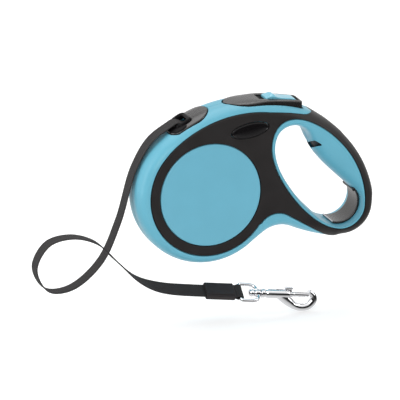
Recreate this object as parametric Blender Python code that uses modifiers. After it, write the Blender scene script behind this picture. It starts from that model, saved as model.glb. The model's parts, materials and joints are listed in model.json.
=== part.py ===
"""Retractable tape leash: a hand-held reel housing with a brake, a wound tape and a bolt snap.

Frame: metres, +Z up.  The origin is the centre of the bounding box of the leash at rest, in the
plane in which the two housing shells meet.  +X runs from the reel towards the handle, and the
shells lie at -Y (left) and +Y (right).  Pieces are built round the reel's axle and then moved
to AXLE_PLACE together.  Sizes below are millimetres times MM.
"""

import math

import bmesh
import bpy
from mathutils import Matrix, Vector

# ---------------------------------------------------------------- driving dimensions
MM = 0.001
GAP = 0.3 * MM                    # clearance between neighbouring pieces

HALF_THICKNESS = 18.25 * MM       # from the parting plane to a side face
SHOULDER_IN = 9.0 * MM            # how far the rounded shoulder pulls the outline in
SHOULDER_DEPTH = 14.0 * MM        # how deep the rounded shoulder is, across the thickness
COVER_THICKNESS = 1.5 * MM        # soft cover and side disc
WALL = 2.0 * MM                   # shell wall under the soft cover
CAVITY_INSET = COVER_THICKNESS + GAP + WALL

BODY_RADIUS = 56.0 * MM           # round reel end of the housing, at the parting plane
COVER_RADIUS = 47.5 * MM          # round part of the soft cover's edge
DISC_RADIUS = 40.0 * MM           # opening in the soft cover that holds the side disc

AXLE_RADIUS = 4.0 * MM
AXLE_BOSS_RADIUS = 8.0 * MM
AXLE_BOSS_FACE = 11.0 * MM        # distance of the boss's end face from the parting plane
HUB_RADIUS = 22.0 * MM
HUB_WALL = 2.0 * MM
REEL_RADIUS = 44.0 * MM           # plain flange
RATCHET_RADIUS = 46.0 * MM        # tips of the ratchet teeth on the left flange
RATCHET_DEPTH = 3.0 * MM
RATCHET_TEETH = 24
RATCHET_PHASE = 1.0               # degrees; puts a gap between teeth under the pawl
FLANGE_INNER = 6.9 * MM           # flange faces, measured from the parting plane
FLANGE_OUTER = 8.4 * MM
WOUND_RADIUS = 42.3 * MM          # outside of the wound tape at rest

TAPE_WIDTH = 12.0 * MM
TAPE_THICKNESS = 1.0 * MM

SCREW_RADIUS = 1.2 * MM
SCREW_HEAD_RADIUS = 2.6 * MM
SCREW_BOSS_RADIUS = 3.2 * MM
SCREW_HEAD_SEAT = 9.0 * MM        # depth of the head's seat in the right shell
SCREW_PLACES = [                  # X, Z of each screw; the last three stand under the soft cover
    (-43.8 * MM, 25.3 * MM),
    (-41.5 * MM, -29.0 * MM),
    (13.1 * MM, -48.9 * MM),
    (47.0 * MM, 51.5 * MM),
    (71.5 * MM, -23.5 * MM),
    (124.0 * MM, -34.0 * MM),
]
SCREWS_UNDER_COVER = SCREW_PLACES[3:]

BUTTON_GAP = 1.0 * MM             # room round the rocking brake button
BUTTON_PIVOT = (67.0 * MM, 58.6 * MM)
BUTTON_TOP = ((41.0 * MM, -60.0 * MM), 130.2 * MM)   # centre and radius of the button's top
BUTTON_DEPTH = 5.0 * MM           # how far the button reaches in under the housing's skin
LOCK_SLOPE = math.radians(8.4)    # the lock slider's path falls towards the handle
LOCK_CENTRE = (60.0 * MM, 67.3 * MM)

PAWL_PIVOT = (39.0 * MM, 50.0 * MM)
INSERT_CENTRE = (105.3 * MM, -19.2 * MM)             # centre of the hand opening's lower end
INSERT_RADIUS = 14.4 * MM
INSERT_THICKNESS = 2.0 * MM
INSERT_PIVOT = (100.6 * MM, -34.0 * MM)
GRIP_SLOT_X = (78.0 * MM, 95.0 * MM)                 # the slot across the grip's crest
GRIP_SLOT_Z = (23.7 * MM, 28.1 * MM)
GRIP_SLOT_REACH = 10.6 * MM

NOZZLE_CENTRE = (-17.5 * MM, 56.0 * MM)
NOZZLE_ANGLE = math.radians(119.0)                   # outward normal of the skin at the nozzle

AXLE_PLACE = Vector((0.3 * MM, 0.0, 15.5 * MM))        # the reel's axle in the finished frame
HOOK_ORIGIN = Vector((33.6 * MM, -9.5 * MM, -83.0 * MM))   # centre of the swivel eye
HOOK_SLOPE = math.radians(8.3)                       # the snap's axis falls towards +X
EYE_TILT = math.radians(32.0)                        # the tape's width, turned up from +Y

LEFT = -1
RIGHT = 1

# ---------------------------------------------------------------- colours: RGB, roughness, metallic
BLUE = ((0.16, 0.43, 0.56), 0.28, 0.0)
BLUE_DISC = ((0.15, 0.44, 0.57), 0.40, 0.0)
SOFT_BLACK = ((0.030, 0.028, 0.030), 0.55, 0.0)
GLOSS_BLACK = ((0.012, 0.011, 0.012), 0.18, 0.0)
DARK_GREY = ((0.14, 0.125, 0.125), 0.30, 0.0)
REEL_GREY = ((0.35, 0.35, 0.36), 0.45, 0.0)
TAPE_GREY = ((0.055, 0.053, 0.056), 0.80, 0.0)
SLEEVE_BLACK = ((0.022, 0.020, 0.021), 0.45, 0.0)
CHROME = ((0.80, 0.80, 0.82), 0.10, 1.0)
STEEL = ((0.55, 0.55, 0.57), 0.30, 1.0)


# ---------------------------------------------------------------- scene helpers
def clear_scene():
    for obj in list(bpy.data.objects):
        bpy.data.objects.remove(obj, do_unlink=True)


def new_collection(name):
    collection = bpy.data.collections.new(name)
    bpy.context.scene.collection.children.link(collection)
    return collection


def new_material(name, look):
    colour, roughness, metallic = look
    material = bpy.data.materials.new(name)
    material.use_nodes = True
    shader = material.node_tree.nodes["Principled BSDF"]
    shader.inputs["Base Color"].default_value = (*colour, 1.0)
    shader.inputs["Roughness"].default_value = roughness
    shader.inputs["Metallic"].default_value = metallic
    material.diffuse_color = (*colour, 1.0)
    return material


clear_scene()
LEASH = new_collection("retractable_leash")
CUTTERS = new_collection("cutters")


def as_part(obj, look):
    """Makes an object one of the leash's pieces, with its own material."""
    for owner in list(obj.users_collection):
        owner.objects.unlink(obj)
    LEASH.objects.link(obj)
    obj.hide_render = False
    obj.display_type = "TEXTURED"
    obj.data.materials.clear()
    obj.data.materials.append(new_material(obj.name, look))
    obj.data.shade_smooth()
    obj.data.set_sharp_from_angle(angle=math.radians(35))
    return obj


def cutter_from(mesh, name):
    """An object that only cuts or joins others, so it isn't rendered."""
    obj = bpy.data.objects.new(name, mesh)
    CUTTERS.objects.link(obj)
    obj.hide_render = True
    obj.display_type = "WIRE"
    return obj


def combine(obj, other, operation="DIFFERENCE"):
    modifier = obj.modifiers.new(f"{operation.lower()} {other.name}", "BOOLEAN")
    modifier.operation = operation
    modifier.solver = "EXACT"
    modifier.object = other
    return obj


def cut(obj, *others):
    for other in others:
        combine(obj, other)
    return obj


def join(obj, *others):
    for other in others:
        combine(obj, other, "UNION")
    return obj


def meshed(curve_obj, matrix=None):
    """A welded mesh cutter in place of a curve object, which is removed."""
    bpy.context.view_layer.update()
    graph = bpy.context.evaluated_depsgraph_get()
    mesh = bpy.data.meshes.new_from_object(curve_obj.evaluated_get(graph))
    name = curve_obj.name
    placed = matrix or curve_obj.matrix_world.copy()
    curve = curve_obj.data
    bpy.data.objects.remove(curve_obj, do_unlink=True)
    bpy.data.curves.remove(curve)
    bm = bmesh.new()
    bm.from_mesh(mesh)
    bmesh.ops.remove_doubles(bm, verts=bm.verts, dist=0.01 * MM)
    bmesh.ops.recalc_face_normals(bm, faces=bm.faces)
    bm.to_mesh(mesh)
    bm.free()
    mesh.transform(placed)
    return cutter_from(mesh, name)


# ---------------------------------------------------------------- shape helpers
def arc(centre, radius, start, end, steps):
    """Points on an arc, from start to end degrees, both included."""
    turns = [math.radians(start + (end - start) * i / steps) for i in range(steps + 1)]
    return [(centre[0] + radius * math.cos(t), centre[1] + radius * math.sin(t)) for t in turns]


def grown(points, distance):
    """A closed outline moved outwards along its normals; the points run counter-clockwise."""
    moved = []
    for i, (x, z) in enumerate(points):
        before = Vector(points[i - 1])
        after = Vector(points[(i + 1) % len(points)])
        along = (after - before).normalized()
        moved.append((x + along.y * distance, z - along.x * distance))
    return moved


def flat_curve(name, points):
    """A closed flat outline as a 2D curve.  Its X and Y become the leash's X and Z."""
    curve = bpy.data.curves.new(name, "CURVE")
    curve.dimensions = "2D"
    curve.fill_mode = "BOTH"
    spline = curve.splines.new("POLY")
    spline.points.add(len(points) - 1)
    for point, (x, z) in zip(spline.points, points):
        point.co = (x, z, 0.0, 1.0)
    spline.use_cyclic_u = True
    obj = bpy.data.objects.new(name, curve)
    CUTTERS.objects.link(obj)
    return obj


UPRIGHT = Matrix.Rotation(math.radians(90.0), 4, "X")     # local Y to +Z, local Z to -Y


def prism(name, points, low, high):
    """A flat outline in X and Z, from low to high in Y."""
    obj = flat_curve(name, points)
    obj.data.extrude = (high - low) / 2
    return meshed(obj, Matrix.Translation((0, (low + high) / 2, 0)) @ UPRIGHT)


def upright_prism(name, points, low, high):
    """A flat outline in X and Y, from low to high in Z."""
    obj = flat_curve(name, points)
    obj.data.extrude = (high - low) / 2
    return meshed(obj, Matrix.Translation((0, 0, (low + high) / 2)))


def rounded_slab(name, points, inset, half, shoulder_in, shoulder_depth, steps=2):
    """A flat outline with a thickness of 2 * half and elliptical shoulders all round."""
    stretch = shoulder_depth / shoulder_in
    obj = flat_curve(name, points)
    obj.data.bevel_depth = shoulder_in
    obj.data.bevel_resolution = steps
    obj.data.extrude = half / stretch - shoulder_in
    obj.data.offset = -shoulder_in - inset
    return meshed(obj, UPRIGHT @ Matrix.Diagonal((1, 1, stretch, 1)))


def skin_slab(name, inset):
    """The housing's whole outer form, pulled in by inset on every side."""
    return rounded_slab(
        name,
        housing_outline(),
        inset,
        HALF_THICKNESS - inset,
        SHOULDER_IN - inset,
        SHOULDER_DEPTH - inset,
    )


def box(name, low, high):
    """A box between two opposite corners."""
    size = Vector(high) - Vector(low)
    bm = bmesh.new()
    bmesh.ops.create_cube(bm, size=1.0)
    bmesh.ops.scale(bm, vec=size, verts=bm.verts)
    bmesh.ops.translate(bm, vec=(Vector(low) + Vector(high)) / 2, verts=bm.verts)
    mesh = bpy.data.meshes.new(name)
    bm.to_mesh(mesh)
    bm.free()
    return cutter_from(mesh, name)


def rod(name, radius, start, end, segments=16):
    """A round bar between two points."""
    start, end = Vector(start), Vector(end)
    along = end - start
    bm = bmesh.new()
    bmesh.ops.create_cone(
        bm, cap_ends=True, segments=segments, radius1=radius, radius2=radius, depth=along.length
    )
    turn = Vector((0, 0, 1)).rotation_difference(along).to_matrix().to_4x4()
    bmesh.ops.transform(bm, matrix=Matrix.Translation((start + end) / 2) @ turn, verts=bm.verts)
    mesh = bpy.data.meshes.new(name)
    bm.to_mesh(mesh)
    bm.free()
    return cutter_from(mesh, name)


def across(name, radius, place, low, high, segments=16):
    """A round bar along Y at (X, Z)."""
    return rod(name, radius, (place[0], low, place[1]), (place[0], high, place[1]), segments)


def turned(name, profile, steps, axis="Y"):
    """A closed profile of (radius, place along the axis), turned about Y or X."""
    mesh = bpy.data.meshes.new(name)
    bm = bmesh.new()
    verts = [bm.verts.new((radius, 0, along)) for radius, along in profile]
    for i, vert in enumerate(verts):
        bm.edges.new((vert, verts[(i + 1) % len(verts)]))
    bm.to_mesh(mesh)
    bm.free()
    obj = cutter_from(mesh, name)
    screw = obj.modifiers.new("turn", "SCREW")
    screw.axis = "Z"
    screw.steps = steps
    screw.render_steps = steps
    screw.use_merge_vertices = True
    screw.merge_threshold = 0.01 * MM
    turn = {"Y": Matrix.Rotation(math.radians(-90.0), 4, "X"),
            "X": Matrix.Rotation(math.radians(90.0), 4, "Y")}[axis]
    return frozen(obj, turn)


def frozen(obj, matrix=None):
    """Applies an object's modifiers and then a matrix to its mesh."""
    bpy.context.view_layer.update()
    graph = bpy.context.evaluated_depsgraph_get()
    mesh = bpy.data.meshes.new_from_object(obj.evaluated_get(graph))
    name = obj.name
    bpy.data.objects.remove(obj, do_unlink=True)
    bm = bmesh.new()
    bm.from_mesh(mesh)
    bmesh.ops.remove_doubles(bm, verts=bm.verts, dist=0.005 * MM)
    bmesh.ops.recalc_face_normals(bm, faces=bm.faces)
    bm.to_mesh(mesh)
    bm.free()
    if matrix:
        mesh.transform(matrix)
    return cutter_from(mesh, name)


def tube(name, points, radius, closed=False, steps=2):
    """A wire of round section along points; a fourth value in a point scales the radius there."""
    curve = bpy.data.curves.new(name, "CURVE")
    curve.dimensions = "3D"
    curve.bevel_depth = radius
    curve.bevel_resolution = steps
    curve.use_fill_caps = True
    spline = curve.splines.new("POLY")
    spline.points.add(len(points) - 1)
    for point, place in zip(spline.points, points):
        point.co = (*place[:3], 1.0)
        if len(place) == 4:
            point.radius = place[3]
    spline.use_cyclic_u = closed
    obj = bpy.data.objects.new(name, curve)
    CUTTERS.objects.link(obj)
    return meshed(obj)


def loft(name, sections):
    """A solid through closed sections that have the same number of points."""
    bm = bmesh.new()
    rings = [[bm.verts.new(point) for point in section] for section in sections]
    for near, far in zip(rings, rings[1:]):
        for i in range(len(near)):
            j = (i + 1) % len(near)
            bm.faces.new((near[i], near[j], far[j], far[i]))
    bm.faces.new(rings[0][::-1])
    bm.faces.new(rings[-1])
    bmesh.ops.recalc_face_normals(bm, faces=bm.faces)
    mesh = bpy.data.meshes.new(name)
    bm.to_mesh(mesh)
    bm.free()
    return cutter_from(mesh, name)


def ribbon(name, centres, widths, thickness):
    """A strap along centres; each width vector points from its middle to one edge."""
    bm = bmesh.new()
    rows = [
        (bm.verts.new(centre - width), bm.verts.new(centre + width))
        for centre, width in zip(centres, widths)
    ]
    for first, second in zip(rows, rows[1:]):
        bm.faces.new((first[0], first[1], second[1], second[0]))
    mesh = bpy.data.meshes.new(name)
    bm.to_mesh(mesh)
    bm.free()
    obj = cutter_from(mesh, name)
    solidify = obj.modifiers.new("thickness", "SOLIDIFY")
    solidify.thickness = thickness
    solidify.offset = 0.0
    solidify.use_even_offset = True
    return frozen(obj)


def coil(name, centre, radius, height, turns, wire, axis="Z", per_turn=8):
    """A compression spring whose axis starts at centre and runs along +Z or +X."""
    points = []
    for i in range(int(turns * per_turn) + 1):
        turn = 2 * math.pi * i / per_turn
        along = height * i / (turns * per_turn)
        ring = (radius * math.cos(turn), radius * math.sin(turn))
        offset = (*ring, along) if axis == "Z" else (along, *ring)
        points.append(Vector(centre) + Vector(offset))
    return tube(name, points, wire, steps=0)


def smooth_path(knots, per_span):
    """A Catmull-Rom path through the knots."""
    points = []
    ends = [2 * knots[0] - knots[1], *knots, 2 * knots[-1] - knots[-2]]
    for a, b, c, d in zip(ends, ends[1:], ends[2:], ends[3:]):
        for i in range(per_span):
            t = i / per_span
            points.append(
                0.5 * (2 * b + (c - a) * t + (2 * a - 5 * b + 4 * c - d) * t * t
                       + (3 * b - a - 3 * c + d) * t * t * t)
            )
    return [*points, knots[-1]]


def mm(*values):
    return Vector([value * MM for value in values])


# ---------------------------------------------------------------- outlines
def at(x, z):
    return (x * MM, z * MM)


def housing_outline():
    """The housing seen from the side: arcs that run into each other, counter-clockwise."""
    return [
        *arc((0, 0), BODY_RADIUS, 136, 311, 17),
        *arc(at(57.5, -54.9), 22.5 * MM, 130, 68, 5),
        *arc(at(131.1, 104.8), 153.4 * MM, 247, 259, 2),
        *arc(at(108.8, -21.1), 25.3 * MM, 264, 362, 8),
        *arc(at(47.4, -26.9), 87.4 * MM, 8, 43, 5),
        *arc(at(31.8, -32.5), 101.4 * MM, 53, 133, 10),
    ]


def cover_outline():
    """The soft cover's edge seen from the side.  It runs past the housing round the handle."""
    return [
        *arc((0, 0), COVER_RADIUS, 137, 325, 18),
        *arc(at(53.5, -36.0), 16.0 * MM, 143, 62, 5),
        at(106.0, -50.0),
        at(146.0, -60.0),
        at(146.0, 70.0),
        at(82.0, 70.0),
        *arc(at(79.0, 59.5), 3.0 * MM, 0, -80, 3),
        *arc(at(31.8, -32.5), 93.3 * MM, 80, 133, 9),
    ]


HOLE_STEPS = (9, 6, 5, 5)


def hole_rim():
    """The hand opening at the side faces: low end, back, upper corner, reel side."""
    low, back, corner, reel = HOLE_STEPS
    return [
        *arc(at(105.3, -19.2), 18.5 * MM, 247, 366, low),
        *arc(at(37.9, -28.9), 87.8 * MM, 10, 67, back),
        *arc(at(63.3, 38.1), 15.2 * MM, 72, 181, corner),
        *arc(at(133.5, 42.4), 86.2 * MM, 185, 244, reel),
    ]


def hole_core():
    """The hand opening at the parting plane, where the grip swells inwards."""
    low, back, corner, reel = HOLE_STEPS
    crown = [at(116.8, -8.4), at(88.4, 19.5), at(84.0, 28.0), at(76.0, 42.5), at(71.0, 48.0)]
    return [
        *arc(INSERT_CENTRE, 16.8 * MM, 247, 394, low),
        *along_polyline(crown, back),
        *arc(at(63.3, 38.1), 12.7 * MM, 72, 181, corner),
        *arc(at(133.5, 42.4), 83.7 * MM, 185, 244, reel),
    ]


def along_polyline(corners, steps):
    """steps + 1 points spread evenly along straight stretches."""
    lengths = [math.dist(a, b) for a, b in zip(corners, corners[1:])]
    points = []
    for i in range(steps + 1):
        left = sum(lengths) * i / steps
        for a, b, length in zip(corners, corners[1:], lengths):
            if left <= length + 1e-9:
                break
            left -= length
        share = left / length
        points.append((a[0] + (b[0] - a[0]) * share, a[1] + (b[1] - a[1]) * share))
    return points


def button_plan(grow):
    """The brake button seen from above, grown by a margin: a drop with a square rear end."""
    half = [at(14.0, 0.0), at(15.0, 3.2), at(18.5, 7.2), at(24.0, 10.6), at(31.0, 13.0),
            at(40.0, 14.2), at(50.0, 14.0), at(60.0, 12.6), at(69.0, 10.3), at(77.0, 8.2)]
    other = [(x, -y) for x, y in half[:0:-1]]
    return grown([*other, *half][::-1], grow)


# ---------------------------------------------------------------- housing
def hand_hole(name, grow):
    """The hand opening as a solid: wide at the faces and narrow at the parting plane."""
    rim, core = grown(hole_rim(), grow), grown(hole_core(), grow)
    reach = HALF_THICKNESS + 2 * MM
    lip = HALF_THICKNESS + 0.15 * MM
    sections = [[(x, -reach, z) for x, z in rim]]
    stations = 6
    for i in range(stations + 1):
        turn = math.pi * i / stations
        y, share = -lip * math.cos(turn), math.sin(turn)
        sections.append([
            (rx + (cx - rx) * share, y, rz + (cz - rz) * share)
            for (rx, rz), (cx, cz) in zip(rim, core)
        ])
    sections.append([(x, reach, z) for x, z in rim])
    return loft(name, sections)


def nozzle_matrix():
    """Local X runs down the tape's way out, local Z is the skin's outward normal."""
    turn = Matrix.Rotation(math.pi / 2 - NOZZLE_ANGLE, 4, "Y")
    place = Matrix.Translation((NOZZLE_CENTRE[0], 0, NOZZLE_CENTRE[1]))
    return place @ turn @ Matrix.Rotation(math.pi, 4, "Z")


def nozzle_plan(grow):
    """The nozzle cover seen square on: straight sides and a round rear end."""
    half_width = 13.5 * MM
    rear = [(-8.5 * MM + y, x) for x, y in arc((0, 0), half_width, 360, 180, 12)]
    front = [at(11.0, -10.5), at(13.0, -8.0), at(13.0, 8.0), at(11.0, 10.5)]
    return grown([*rear, *front], grow)


def moved(obj, matrix):
    obj.data.transform(matrix)
    return obj


def inner_bosses():
    """What the cavity leaves standing: the bosses for the screws, the axle and the pawl's pin."""
    wide = 20 * MM
    bosses = [
        across(f"screw_boss_{i}", SCREW_BOSS_RADIUS, place, -wide, wide, 12)
        for i, place in enumerate(SCREW_PLACES)
    ]
    bosses.append(across("axle_boss_left", AXLE_BOSS_RADIUS, (0, 0), -wide, -AXLE_BOSS_FACE, 24))
    bosses.append(across("axle_boss_right", AXLE_BOSS_RADIUS, (0, 0), AXLE_BOSS_FACE, wide, 24))
    bosses.append(across("pawl_boss", 2.8 * MM, PAWL_PIVOT, -wide, -10.2 * MM, 12))
    return bosses


def shared_cutters():
    """Cutters that both shells use."""
    cover_zone = prism("cover_zone", cover_outline(), -30 * MM, 30 * MM)
    cut(cover_zone, skin_slab("shell_under_cover", COVER_THICKNESS + GAP))
    nozzle_zone = upright_prism("nozzle_zone", nozzle_plan(GAP), -20 * MM, 20 * MM)
    cut(moved(nozzle_zone, nozzle_matrix()), skin_slab("shell_under_nozzle", 1.8 * MM))
    nozzle_slot = moved(box("nozzle_slot", mm(-7.0, -10.3, -12.0), mm(7.0, 10.3, 12.0)),
                        nozzle_matrix())
    button_slot = upright_prism("button_slot", button_plan(BUTTON_GAP), 56.3 * MM, 90 * MM)
    button_bore = across("button_bore", 1.1 * MM, BUTTON_PIVOT, -13.4 * MM, 13.4 * MM, 12)
    cavity = skin_slab("cavity", CAVITY_INSET)
    cut(cavity, hand_hole("hand_hole_wall", 2.2 * MM), *inner_bosses())
    insert_pocket = across("insert_pocket", 2.5 * MM, INSERT_PIVOT, -13.4 * MM, 13.4 * MM)
    insert_bore = across("insert_bore", 1.2 * MM, INSERT_PIVOT, -16.0 * MM, 16.0 * MM, 12)
    return [cover_zone, nozzle_zone, nozzle_slot, button_slot, button_bore, cavity,
            hand_hole("hand_hole", 0.0), insert_pocket, insert_bore]


def housing_shell(side, name, shared):
    """One half of the housing, with its inner bosses."""
    shell = skin_slab(name, 0.0)
    other = sorted((-side * 40 * MM, side * GAP / 2))
    away = box(f"{name}_parting", (-0.2, other[0], -0.2), (0.3, other[1], 0.2))
    cut(shell, *shared, away)
    bore = sorted((side * (AXLE_BOSS_FACE - MM), side * 14.5 * MM))
    cut(shell, across(f"{name}_axle_bore", AXLE_RADIUS + GAP, (0, 0), *bore, 24))
    reach = side * (HALF_THICKNESS - CAVITY_INSET)
    for i, place in enumerate(SCREW_PLACES):
        span = sorted((-side * MM, reach))
        cut(shell, across(f"{name}_screw_bore_{i}", SCREW_RADIUS + GAP, place, *span, 10))
        if side == RIGHT:
            seat = (SCREW_HEAD_SEAT, HALF_THICKNESS + 5 * MM)
            cut(shell, across(f"{name}_seat_{i}", SCREW_HEAD_RADIUS + GAP, place, *seat, 12))
    if side == LEFT:
        cut(shell, across("pawl_bore", 1.5 * MM, PAWL_PIVOT, -14.3 * MM, -9 * MM, 10))
    span = sorted((-side * MM, side * GRIP_SLOT_REACH))
    cut(shell, box(f"{name}_grip_slot", (GRIP_SLOT_X[0], span[0], GRIP_SLOT_Z[0]),
                   (GRIP_SLOT_X[1], span[1], GRIP_SLOT_Z[1])))
    return as_part(shell, BLUE)


def badge_oval(name, grow, low, high):
    """A blank oval on the soft cover, tilted a little."""
    middle, long, short, tilt = at(31.5, 47.5), 15.0 * MM, 5.6 * MM, math.radians(8)
    points = []
    for i in range(24):
        t = 2 * math.pi * i / 24
        u, v = (long + grow) * math.cos(t), (short + grow) * math.sin(t)
        points.append((middle[0] + u * math.cos(tilt) - v * math.sin(tilt),
                       middle[1] + u * math.sin(tilt) + v * math.cos(tilt)))
    return prism(name, points, low, high)


def soft_cover(side, name):
    """The soft skin over one side face and round its half of the handle."""
    cover = skin_slab(name, 0.0)
    mask = prism(f"{name}_mask", grown(cover_outline(), -GAP), -30 * MM, 30 * MM)
    combine(cover, mask, "INTERSECT")
    other = sorted((-side * 40 * MM, side * GAP / 2))
    parting = box(f"{name}_parting", (-0.2, other[0], -0.2), (0.3, other[1], 0.2))
    low, high = sorted((side * 10 * MM, side * 25 * MM))
    opening = across(f"{name}_disc_opening", DISC_RADIUS, (0, 0), low, high, 48)
    badge = badge_oval(f"{name}_badge_opening", GAP, low, high)
    cut(cover, skin_slab(f"{name}_inner", COVER_THICKNESS), hand_hole(f"{name}_hole", 0.0),
        parting, opening, badge)
    if side == RIGHT:
        for i, place in enumerate(SCREWS_UNDER_COVER):
            seat = across(f"{name}_seat_{i}", SCREW_HEAD_RADIUS + 2 * GAP, place, low, high, 16)
            cut(cover, seat)
    return as_part(cover, SOFT_BLACK)


def side_disc(side, name):
    """The round panel in the soft cover's opening, with a chamfered edge."""
    face, back = HALF_THICKNESS, HALF_THICKNESS - COVER_THICKNESS
    radius, chamfer = DISC_RADIUS - GAP, 0.4 * MM
    profile = [(0, face), (radius - chamfer, face), (radius, face - chamfer), (radius, back),
               (0, back)]
    return as_part(turned(name, [(r, side * y) for r, y in profile], 48), BLUE_DISC)


def badge(side, name):
    low, high = sorted((side * (HALF_THICKNESS + 0.2 * MM),
                        side * (HALF_THICKNESS - COVER_THICKNESS)))
    return as_part(badge_oval(name, 0.0, low, high), GLOSS_BLACK)


def nozzle_cover():
    """The dark cap over the tape's way out, lying in the housing's top edge."""
    cap = skin_slab("nozzle_cover", -0.8 * MM)
    plan = moved(upright_prism("nozzle_cover_plan", nozzle_plan(0.0), -20 * MM, 20 * MM),
                 nozzle_matrix())
    combine(cap, plan, "INTERSECT")
    opening = moved(box("nozzle_cover_opening", mm(-7.3, -10.3, -10), mm(7.3, 10.3, 10)),
                    nozzle_matrix())
    cut(cap, skin_slab("nozzle_cover_inner", 1.5 * MM), opening)
    return as_part(cap, DARK_GREY)


def nozzle_frame():
    """The smooth ring that the tape runs out through."""
    bead = 1.7 * MM
    half_length, half_width, corner = 7.0 * MM - bead, 10.0 * MM - bead, 2.5 * MM
    corners = [(1, 1, 0), (-1, 1, 90), (-1, -1, 180), (1, -1, 270)]
    points = []
    for sx, sy, start in corners:
        centre = (sx * (half_length - corner), sy * (half_width - corner))
        points += [(x, y, -0.6 * MM) for x, y in arc(centre, corner, start, start + 90, 4)]
    return as_part(moved(tube("nozzle_frame", points, bead, closed=True), nozzle_matrix()),
                   GLOSS_BLACK)


def tape_guide_pin():
    """The pin that lifts the tape clear of the ratchet teeth on its way to the nozzle."""
    return as_part(across("tape_guide_pin", 1.5 * MM, at(-5.0, 47.8), -13.5 * MM, 13.5 * MM, 20),
                   STEEL)


def housing_screw(index, place):
    """A self-tapping screw from the right shell into the left one."""
    head, tip = SCREW_HEAD_SEAT + GAP, -11.0 * MM
    top = head + 1.8 * MM
    profile = [(0, top), (SCREW_HEAD_RADIUS - 0.4 * MM, top), (SCREW_HEAD_RADIUS, top - 0.6 * MM),
               (SCREW_HEAD_RADIUS, head), (SCREW_RADIUS, head), (SCREW_RADIUS, tip + MM), (0, tip)]
    screw = turned(f"housing_screw_{index}", profile, 8)
    moved(screw, Matrix.Translation((place[0], 0, place[1])))
    for turn in (0, 90):
        slot = box(f"screw_{index}_slot_{turn}", mm(-1.6, 0, -0.35), mm(1.6, 3, 0.35))
        moved(slot, Matrix.Translation((place[0], top - 0.9 * MM, place[1]))
              @ Matrix.Rotation(math.radians(turn), 4, "Y"))
        cut(screw, slot)
    return as_part(screw, STEEL)


# ---------------------------------------------------------------- reel
def reel_axle():
    """The fixed axle, slotted to hold the mainspring's inner end."""
    axle = across("reel_axle", AXLE_RADIUS, (0, 0), -14.1 * MM, 14.1 * MM, 24)
    slot = box("axle_slot", mm(-0.6, -6.4, -6), mm(0.6, 6.4, 0))
    return as_part(cut(axle, slot), STEEL)


def axle_washer(side, name):
    """A plain washer between a shell's boss and the reel."""
    inner, outer = sorted((side * 9.3 * MM, side * (AXLE_BOSS_FACE - GAP)))
    radius, bore = 6.5 * MM, AXLE_RADIUS + GAP
    profile = [(bore, outer), (radius, outer), (radius, inner), (bore, inner)]
    return as_part(turned(name, profile, 20), STEEL)


def reel_drum():
    """Hub and left flange in one moulding, with ratchet teeth round the flange."""
    bore, inside = AXLE_RADIUS + GAP, HUB_RADIUS - HUB_WALL
    profile = [(HUB_RADIUS, FLANGE_OUTER), (HUB_RADIUS, -FLANGE_INNER),
               (RATCHET_RADIUS, -FLANGE_INNER), (RATCHET_RADIUS, -FLANGE_OUTER), (bore, -9.0 * MM),
               (bore, -FLANGE_INNER), (inside, -FLANGE_INNER), (inside, FLANGE_OUTER)]
    drum = turned("reel_drum", profile, 36)
    notches = ratchet_notches()
    return as_part(cut(drum, notches), REEL_GREY)


def ratchet_notches():
    """A toothed ring that cuts the saw teeth into the flange's edge."""
    outline = []
    pitch = 360 / RATCHET_TEETH
    for i in range(RATCHET_TEETH):
        turn = i * pitch + RATCHET_PHASE
        outline += arc((0, 0), RATCHET_RADIUS - RATCHET_DEPTH, turn, turn + 0.3 * pitch, 1)
        outline += arc((0, 0), RATCHET_RADIUS + 0.5 * MM, turn + 0.7 * pitch, turn + 0.95 * pitch, 1)
    ring = prism("ratchet_blank", arc((0, 0), 60 * MM, 0, 345, 23), -10 * MM, -6 * MM)
    teeth = prism("ratchet_teeth", outline, -11 * MM, -5 * MM)
    return cut(ring, teeth)


def reel_flange():
    """The plain right flange, pressed on the hub."""
    bore = HUB_RADIUS + GAP
    profile = [(bore, FLANGE_OUTER), (REEL_RADIUS, FLANGE_OUTER), (REEL_RADIUS, FLANGE_INNER),
               (bore, FLANGE_INNER)]
    return as_part(turned("reel_flange", profile, 36), REEL_GREY)


def spring_cover():
    """The lid that keeps the mainspring in the hub."""
    bore, edge = AXLE_RADIUS + GAP, HUB_RADIUS - HUB_WALL - GAP
    profile = [(bore, 9.0 * MM), (edge, FLANGE_OUTER), (edge, FLANGE_INNER), (bore, FLANGE_INNER)]
    return as_part(turned("spring_cover", profile, 24), REEL_GREY)


def mainspring():
    """A flat spiral spring between the axle and the hub wall."""
    turns, per_turn = 6, 16
    inner, outer = AXLE_RADIUS + 0.9 * MM, HUB_RADIUS - HUB_WALL - 0.8 * MM
    count = turns * per_turn
    centres = []
    for i in range(count + 1):
        turn = -math.pi / 2 + 2 * math.pi * i / per_turn
        radius = inner + (outer - inner) * i / count
        centres.append(Vector((radius * math.cos(turn), 0, radius * math.sin(turn))))
    widths = [mm(0, 5.9, 0)] * len(centres)
    return as_part(ribbon("mainspring", centres, widths, 0.35 * MM), STEEL)


def wound_tape():
    """The tape still on the reel, as one ring."""
    half, inner = TAPE_WIDTH / 2, HUB_RADIUS + GAP
    profile = [(inner, half), (WOUND_RADIUS, half), (WOUND_RADIUS, -half), (inner, -half)]
    return as_part(turned("wound_tape", profile, 36), TAPE_GREY)


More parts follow.
